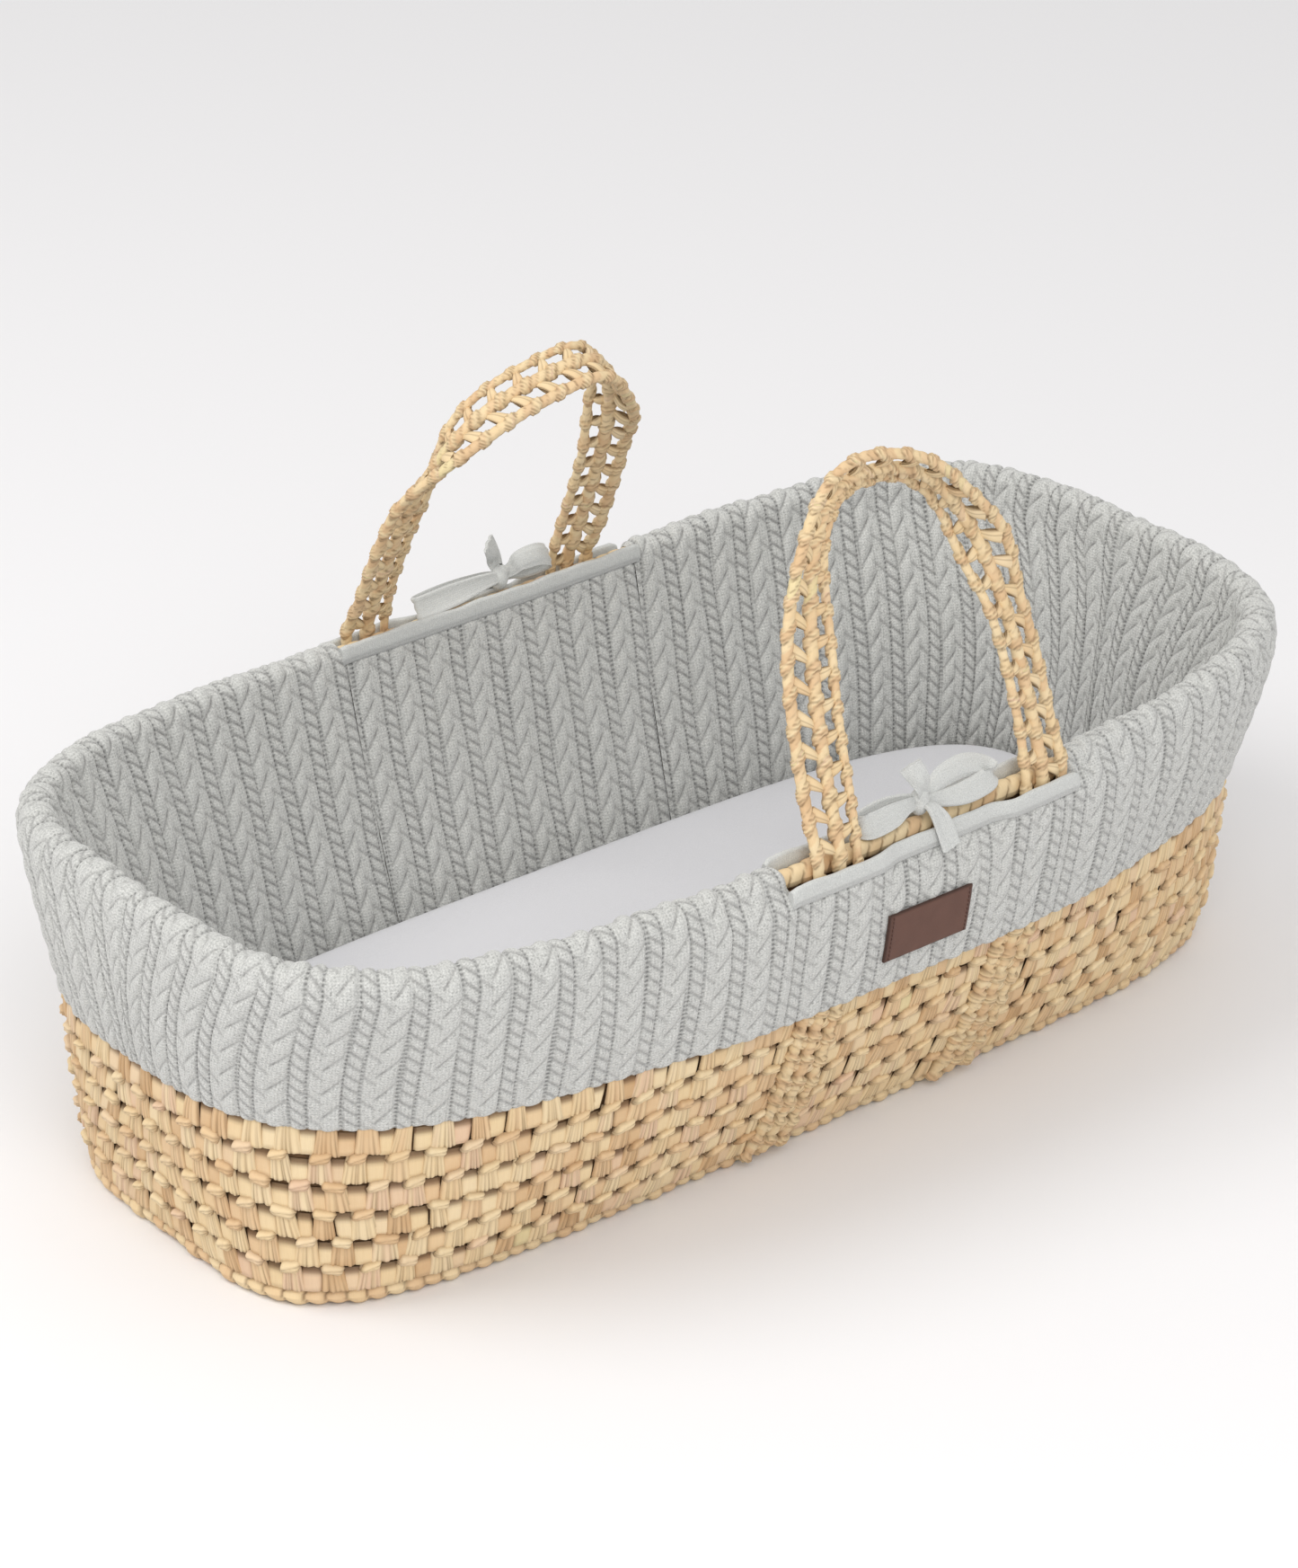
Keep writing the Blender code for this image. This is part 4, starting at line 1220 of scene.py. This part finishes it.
def smooth_path(points, count):
    """A Catmull-Rom curve through the points."""
    points = np.array(points, float)
    padded = np.concatenate([2 * points[:1] - points[1:2], points, 2 * points[-1:] - points[-2:-1]])
    place = np.linspace(0, len(points) - 1 - 1e-9, count)
    i = place.astype(int)
    t = (place - i)[:, None]
    a, b, c, d = (padded[i + k] for k in range(4))
    return 0.5 * (2 * b + (c - a) * t + (2 * a - 5 * b + 4 * c - d) * t**2 + (3 * b - a - 3 * c + d) * t**3)


def squared(values):
    """A circle's sines or cosines, drawn out towards a rounded square."""
    return np.sign(values) * np.abs(values) ** 0.6


def ribbon(pieces, origin, flip, points, ways, widths):
    """A flat strip of jersey along a curve, its width direction given at each point."""
    count = 60
    mirror = np.array([1.0, flip, 1.0])
    path = smooth_path(points, count) * mirror
    way = unit(smooth_path(ways, count)) * mirror
    half = smooth_path([(width, 0, 0) for width in widths], count)[:, :1] / 2
    run = unit(np.gradient(path, axis=0))
    normal = unit(np.cross(run, way))
    way = np.cross(normal, run)
    turn = np.linspace(0, TAU, 25)[None, :]
    aside = squared(np.cos(turn))
    curl = RIBBON_CURL * (1 - aside**2) * np.sin(np.linspace(0, 7, count))[:, None]
    height = RIBBON_THICKNESS / 2 * squared(np.sin(turn)) + curl + 0.0005 * np.cos(aside * 8)
    place = half * aside
    placed = origin + path[:, None] + way[:, None] * place[..., None] + normal[:, None] * height[..., None]
    length = lengths_along(path)[:, None]
    # Painted shade in bands across the ribbon near the knot.
    fold = 0.25 * np.abs(np.sin(aside * 9)) * np.exp(-length / 0.02)
    pieces.add(placed, stacked(place, length), fold=fold)
    add_caps(pieces, placed, placed.mean(1), fold=0.1)


def add_bow_knot(pieces, origin, flip):
    turn = np.linspace(0, TAU, 25)[:, None]
    rise = np.linspace(-1, 1, 13)[None, :]
    belly = 0.0070 * np.sqrt(np.clip(1.03 - rise**2, 0, 1)) * (1 + 0.05 * np.cos(3 * turn + 2 * rise))
    x = belly * np.cos(turn) * 0.82 + 0.0012 * rise
    y = -flip * belly * np.sin(turn) * 0.95
    # Painted shade in the wrapping lines of the knot.
    fold = 0.35 * bell(np.sin(3 * rise + turn), 0.35)
    uv = stacked(turn * 0.006, rise * 0.007)
    pieces.add(origin + stacked(x, y, 0.0090 * rise), uv, fold=fold, flip=flip < 0)


def make_bow(side, material):
    """Two ties knotted into a bow: each has one loop and one tail."""
    flip = -toward(side)
    knot_y = toward(side) * (RIM_HALF_WIDTH - RIM_COIL_RADIUS + 0.001)
    origin = np.array([BOW_KNOT_X[side], knot_y, HINGE_Z + 0.0105])
    left, right = BOW_REACH[side]
    upright = (0, 0.35 * flip, 0.94)
    leaning = (0, 0.52 * flip, 0.85)
    pieces = Pieces()
    ribbon(
        pieces, origin, flip,
        [(0.0, 0.0, 0.0), (-0.012, -0.002, 0.001), (-0.6 * left, -0.003, -0.001), (-left, -0.002, -0.003),
         (-left - 0.002, 0.003, -0.002), (-0.6 * left, 0.004, 0.0005), (-0.012, 0.003, 0.002),
         (0.0, 0.001, 0.0005)],
        [upright, upright, leaning, leaning, leaning, leaning, upright, upright],
        [0.007, 0.010, 0.0150, 0.0160, 0.0160, 0.0150, 0.010, 0.007],
    )
    ribbon(
        pieces, origin, flip,
        [(0.001, -0.002, 0.002), (-0.001, -0.004, 0.010), (-0.004, -0.003, 0.018), (-0.009, 0.000, 0.027)],
        [(1, 0, 0.1), (0.95, 0.1, 0.3), (0.9, -0.3, 0.35), (0.8, -0.5, 0.4)],
        [0.008, 0.011, 0.0135, 0.015],
    )
    attach(pieces.make(f"{side}_inner_tie_loop", material), "basket", "jersey_tie", f"{side}_inner_tie")
    pieces = Pieces()
    ribbon(
        pieces, origin, flip,
        [(0.0, -0.001, 0.0), (0.012, -0.004, -0.001), (0.6 * right, -0.006, -0.002),
         (right, -0.004, 0.000), (right + 0.001, 0.001, 0.005), (0.75 * right, 0.004, 0.010),
         (0.4 * right, 0.003, 0.009), (0.010, 0.001, 0.004), (0.0, 0.0, 0.001)],
        [upright, *[leaning] * 7, upright],
        [0.007, 0.010, 0.0145, 0.0155, 0.0155, 0.0155, 0.0140, 0.010, 0.007],
    )
    ribbon(
        pieces, origin, flip,
        [(0.001, -0.004, 0.000), (0.003, -0.010, -0.003), (0.006, -0.0150, -0.011), (0.010, -0.0190, -0.027)],
        [(1, 0, 0), (1, 0, 0.1), (1, 0, 0.2), (1, 0.1, 0.3)],
        [0.007, 0.010, 0.0135, 0.0150],
    )
    add_bow_knot(pieces, origin, flip)
    attach(pieces.make(f"{side}_outer_tie_loop", material), "basket", "jersey_tie", f"{side}_outer_tie")


# The label


def skirt_face(x, z):
    """How far along Y the skirt's face lies behind the label."""
    middle = angle_at("front", LABEL_CENTRE[0])
    offset = skirt_offset(middle, z) + LINER_THICKNESS / 2 + 2 * GAP
    return wall(middle + 0 * x, z + 0 * x, offset + 0 * x)[..., 1]


def make_label(material, thread):
    width, thickness, height = LABEL_SIZE
    x_centre, z_centre = LABEL_CENTRE
    a, b = np.meshgrid(np.linspace(-1, 1, 61), np.linspace(-1, 1, 31), indexing="ij")
    x = x_centre + a * width / 2
    z = z_centre + b * height / 2
    rim = np.maximum(np.abs(a), np.abs(b))
    seam = bell(np.abs(a) - LABEL_SEAM, 0.012)
    rounded = 0.0007 * np.clip((rim - 0.93) / 0.07, 0, 1) ** 2
    y_back = skirt_face(x, z)
    front = stacked(x, y_back - thickness + rounded + 0.0003 * seam, z)
    back = stacked(x, y_back + 0.0002, z)
    pieces = Pieces()
    # Painted shade at the rounded rim, on the cut sides and back, and along the seams.
    fold = np.maximum(np.clip((rim - 0.95) / 0.05, 0, 1), 0.4 * seam)
    pieces.add(front, stacked(a * width / 2, b * height / 2), fold=fold)
    pieces.add(back, stacked(a * width / 2, b * height / 2), fold=0.5, flip=True)
    for row in (0, -1):
        pieces.add(np.stack([front[:, row], back[:, row]]), np.zeros(2), fold=0.9, flip=row == 0)
        pieces.add(np.stack([front[row, :], back[row, :]]), np.zeros(2), fold=0.9, flip=row == -1)
    attach(pieces.make("leather_label_patch", material), "basket", "leather", "leather_label")
    stitches = Pieces()
    turn = np.linspace(0, TAU, 7)[None, :]
    along = np.linspace(-1, 1, 5)[:, None]
    thin = 0.00035 * np.sqrt(np.clip(1.05 - along**2, 0, 1))
    for side in (-1, 1):
        x_mid = x_centre + side * LABEL_SEAM * width / 2
        for z_mid in z_centre + np.linspace(-0.44, 0.44, 11) * height:
            y = skirt_face(x_mid, z_mid) - thickness - 0.0002
            points = stacked(x_mid + thin * np.cos(turn), y + thin * np.sin(turn), z_mid + 0.0011 * along)
            stitches.add(points, np.zeros(2), fold=0.0)
    attach(stitches.make("label_stitches", thread), "basket", "leather")


# The mattress


def mattress_ring(angle, inset, z):
    size = (MATTRESS_HALF_LENGTH, MATTRESS_HALF_WIDTH, MATTRESS_SQUARENESS, MATTRESS_SQUARENESS)
    x, y, normal_x, normal_y = outline(angle, *size)
    return stacked(x - normal_x * inset, y - normal_y * inset, z)


def weld(piece):
    """Join the points that meet at the middle of a pad."""
    mesh = bmesh.new()
    mesh.from_mesh(piece.data)
    bmesh.ops.remove_doubles(mesh, verts=mesh.verts, dist=1e-6)
    mesh.to_mesh(piece.data)
    mesh.free()


def pad_sections(inset, crown):
    """(inset, height) pairs from the top's edge round the side to the underside."""
    top, bottom = MATTRESS_TOP - inset, MATTRESS_BOTTOM + inset
    turn = np.linspace(0, math.pi / 2, 8)
    over, under = PAD_RADII
    upper = stacked(inset + over * (1 - np.sin(turn)), top - over * (1 - np.cos(turn)))
    lower = stacked(inset + under * (1 - np.cos(turn)), bottom + under * (1 - np.sin(turn)))
    bulge = np.array([[inset - crown, between(top, bottom, 0.5)]])
    return np.concatenate([upper, bulge, lower])


def pad_shell(inset, crown, hem):
    """Closed pad or fitted sheet: top grid, side, and the underside in as far as the hem."""
    ring = Ring(lambda turn: mattress_ring(turn, 0, 0.0))
    angle = ring.angle(np.linspace(0, ring.total, 480, endpoint=False))
    edge = pad_sections(inset, crown)
    outer = mattress_ring(angle, *edge[0])
    rows = []
    for share in np.linspace(0, 1, 26):
        row = outer * (share, share, 1.0)
        swell = 0.0016 * np.sin(row[:, 0] * 17) * np.cos(row[:, 1] * 21) * (1 - share**4)
        row[:, 2] += swell * 0.6 + crown * (1 - share**2)
        rows.append(row)
    rows += [mattress_ring(angle, *place) for place in edge[1:]]
    if hem:
        under = [(between(edge[-1][0], hem, share), edge[-1][1]) for share in np.linspace(0.3, 1, 5)]
        rows += [mattress_ring(angle, *place) for place in under]
    else:
        rows += [rows[-1] * (share, share, 1.0) for share in (0.8, 0.5, 0.0)]
    return angle, np.stack(rows, 1)


def make_pad(name, points, slot, node, material):
    pieces = Pieces()
    pieces.add(points, points[..., :2], ring=True, flip=True, fold=0.0)
    pad = pieces.make(name, material)
    weld(pad)
    return attach(pad, "mattress", slot, node)


def make_mattress(sheet_look, core_look, elastic_look):
    _, points = pad_shell(0.0018, 0.0006, 0)
    core = make_pad("mattress_pad", points, "foam", "mattress_core", core_look)
    angle, points = pad_shell(0.0, 0.0010, SHEET_HEM)
    sheet = make_pad("fitted_sheet", points, "jersey_sheet", "mattress_sheet", sheet_look)
    path = mattress_ring(angle, SHEET_HEM + 0.0015, MATTRESS_BOTTOM + 0.0012)
    path[:, 2] += 0.0006 * np.sin(np.arange(len(angle)) / len(angle) * TAU * SHEET_PUCKERS)
    turn = np.linspace(0, TAU, 11)[None, :]
    out = unit(mattress_ring(angle, 0, 0.0) - mattress_ring(angle, 0.01, 0.0))
    points = path[:, None] + out[:, None] * (0.0024 * np.cos(turn))[..., None]
    points = points + np.array(UP) * (0.0012 * np.sin(turn))[..., None]
    pieces = Pieces()
    pieces.add(points, np.zeros(2), ring=True, fold=0.0)
    elastic = pieces.make("sheet_elastic_edge", elastic_look)
    attach(elastic, "mattress", "elastic", "sheet_elastic")


# Camera, light and floor


def add_camera():
    data = bpy.data.cameras.new("camera")
    camera = bpy.data.objects.new("camera", data)
    place = Matrix((CAMERA_RIGHT, CAMERA_UP, CAMERA_BACK)).transposed().to_4x4()
    place.translation = CAMERA_PLACE
    camera.matrix_world = place
    data.sensor_width = 36.0
    data.lens = CAMERA_LENS
    bpy.context.scene.collection.objects.link(camera)
    bpy.context.scene.camera = camera


def add_area_light(name, place, target, size, power, colour):
    data = bpy.data.lights.new(name, "AREA")
    data.shape = "DISK"
    data.size = size
    data.energy = power
    data.color = colour
    lamp = bpy.data.objects.new(name, data)
    lamp.location = place
    lamp.rotation_mode = "QUATERNION"
    lamp.rotation_quaternion = (Vector(target) - Vector(place)).to_track_quat("-Z", "Y")
    bpy.context.scene.collection.objects.link(lamp)


def add_stage():
    mesh = bpy.data.meshes.new("floor")
    corners = [(x * FLOOR_REACH, y * FLOOR_REACH, 0) for x, y in ((-1, -1), (1, -1), (1, 1), (-1, 1))]
    mesh.from_pydata(corners, [], [(0, 1, 2, 3)])
    floor = bpy.data.objects.new("floor", mesh)
    floor.location = (0, 0, -GAP)
    look = Look("floor", 0.9)
    look.main.inputs["Base Color"].default_value = FLOOR_COLOUR
    mesh.materials.append(look.material)
    bpy.context.scene.collection.objects.link(floor)
    world = bpy.data.worlds.new("studio")
    world.use_nodes = True
    background = world.node_tree.nodes["Background"]
    background.inputs["Color"].default_value = SKY_COLOUR
    background.inputs["Strength"].default_value = SKY_STRENGTH
    bpy.context.scene.world = world
    bpy.context.scene.view_settings.view_transform = "Standard"
    add_area_light("key", (-2.4, 0.9, 3.2), (0, 0, 0.1), 2.2, 54.0, (1.0, 0.985, 0.96))
    add_area_light("front_fill", (-1.5, -3.0, 3.0), (0, 0, 0.15), 3.0, 76.0, (1.0, 0.99, 0.98))


def main():
    add_camera()
    add_stage()
    palm = palm_look()
    depth = backing_look()
    knit = knit_look()
    binding = jersey_look("jersey_binding", BINDING_YARN)
    tie = jersey_look("jersey_tie", TIE_YARN)
    sheet = jersey_look("jersey_sheet", SHEET_YARN, 0.15)
    core = plain_look("foam_core", FOAM, 0.9)
    elastic = plain_look("elastic", ELASTIC, 0.8)
    leather = leather_look()
    thread = plain_look("label_thread", THREAD, 0.7)
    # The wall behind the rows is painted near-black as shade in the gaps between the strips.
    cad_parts["palm_wall"].data.materials[0] = depth
    make_palm_rows(palm)
    make_base_coil(palm)
    make_base_mat(palm)
    make_rim_coil(palm)
    panels = make_liner(knit)
    make_hem(binding)
    for end in (0, 1):
        make_base_strap(end, palm)
    for side in ("front", "back"):
        for end in (0, 1):
            make_wall_strap(side, end, palm)
        for layer in ("outer", "inner"):
            make_binding(side, layer, binding)
        make_bow(side, tie)
        make_handle(side, palm)
    make_label(leather, thread)
    make_mattress(sheet, core, elastic)


main()
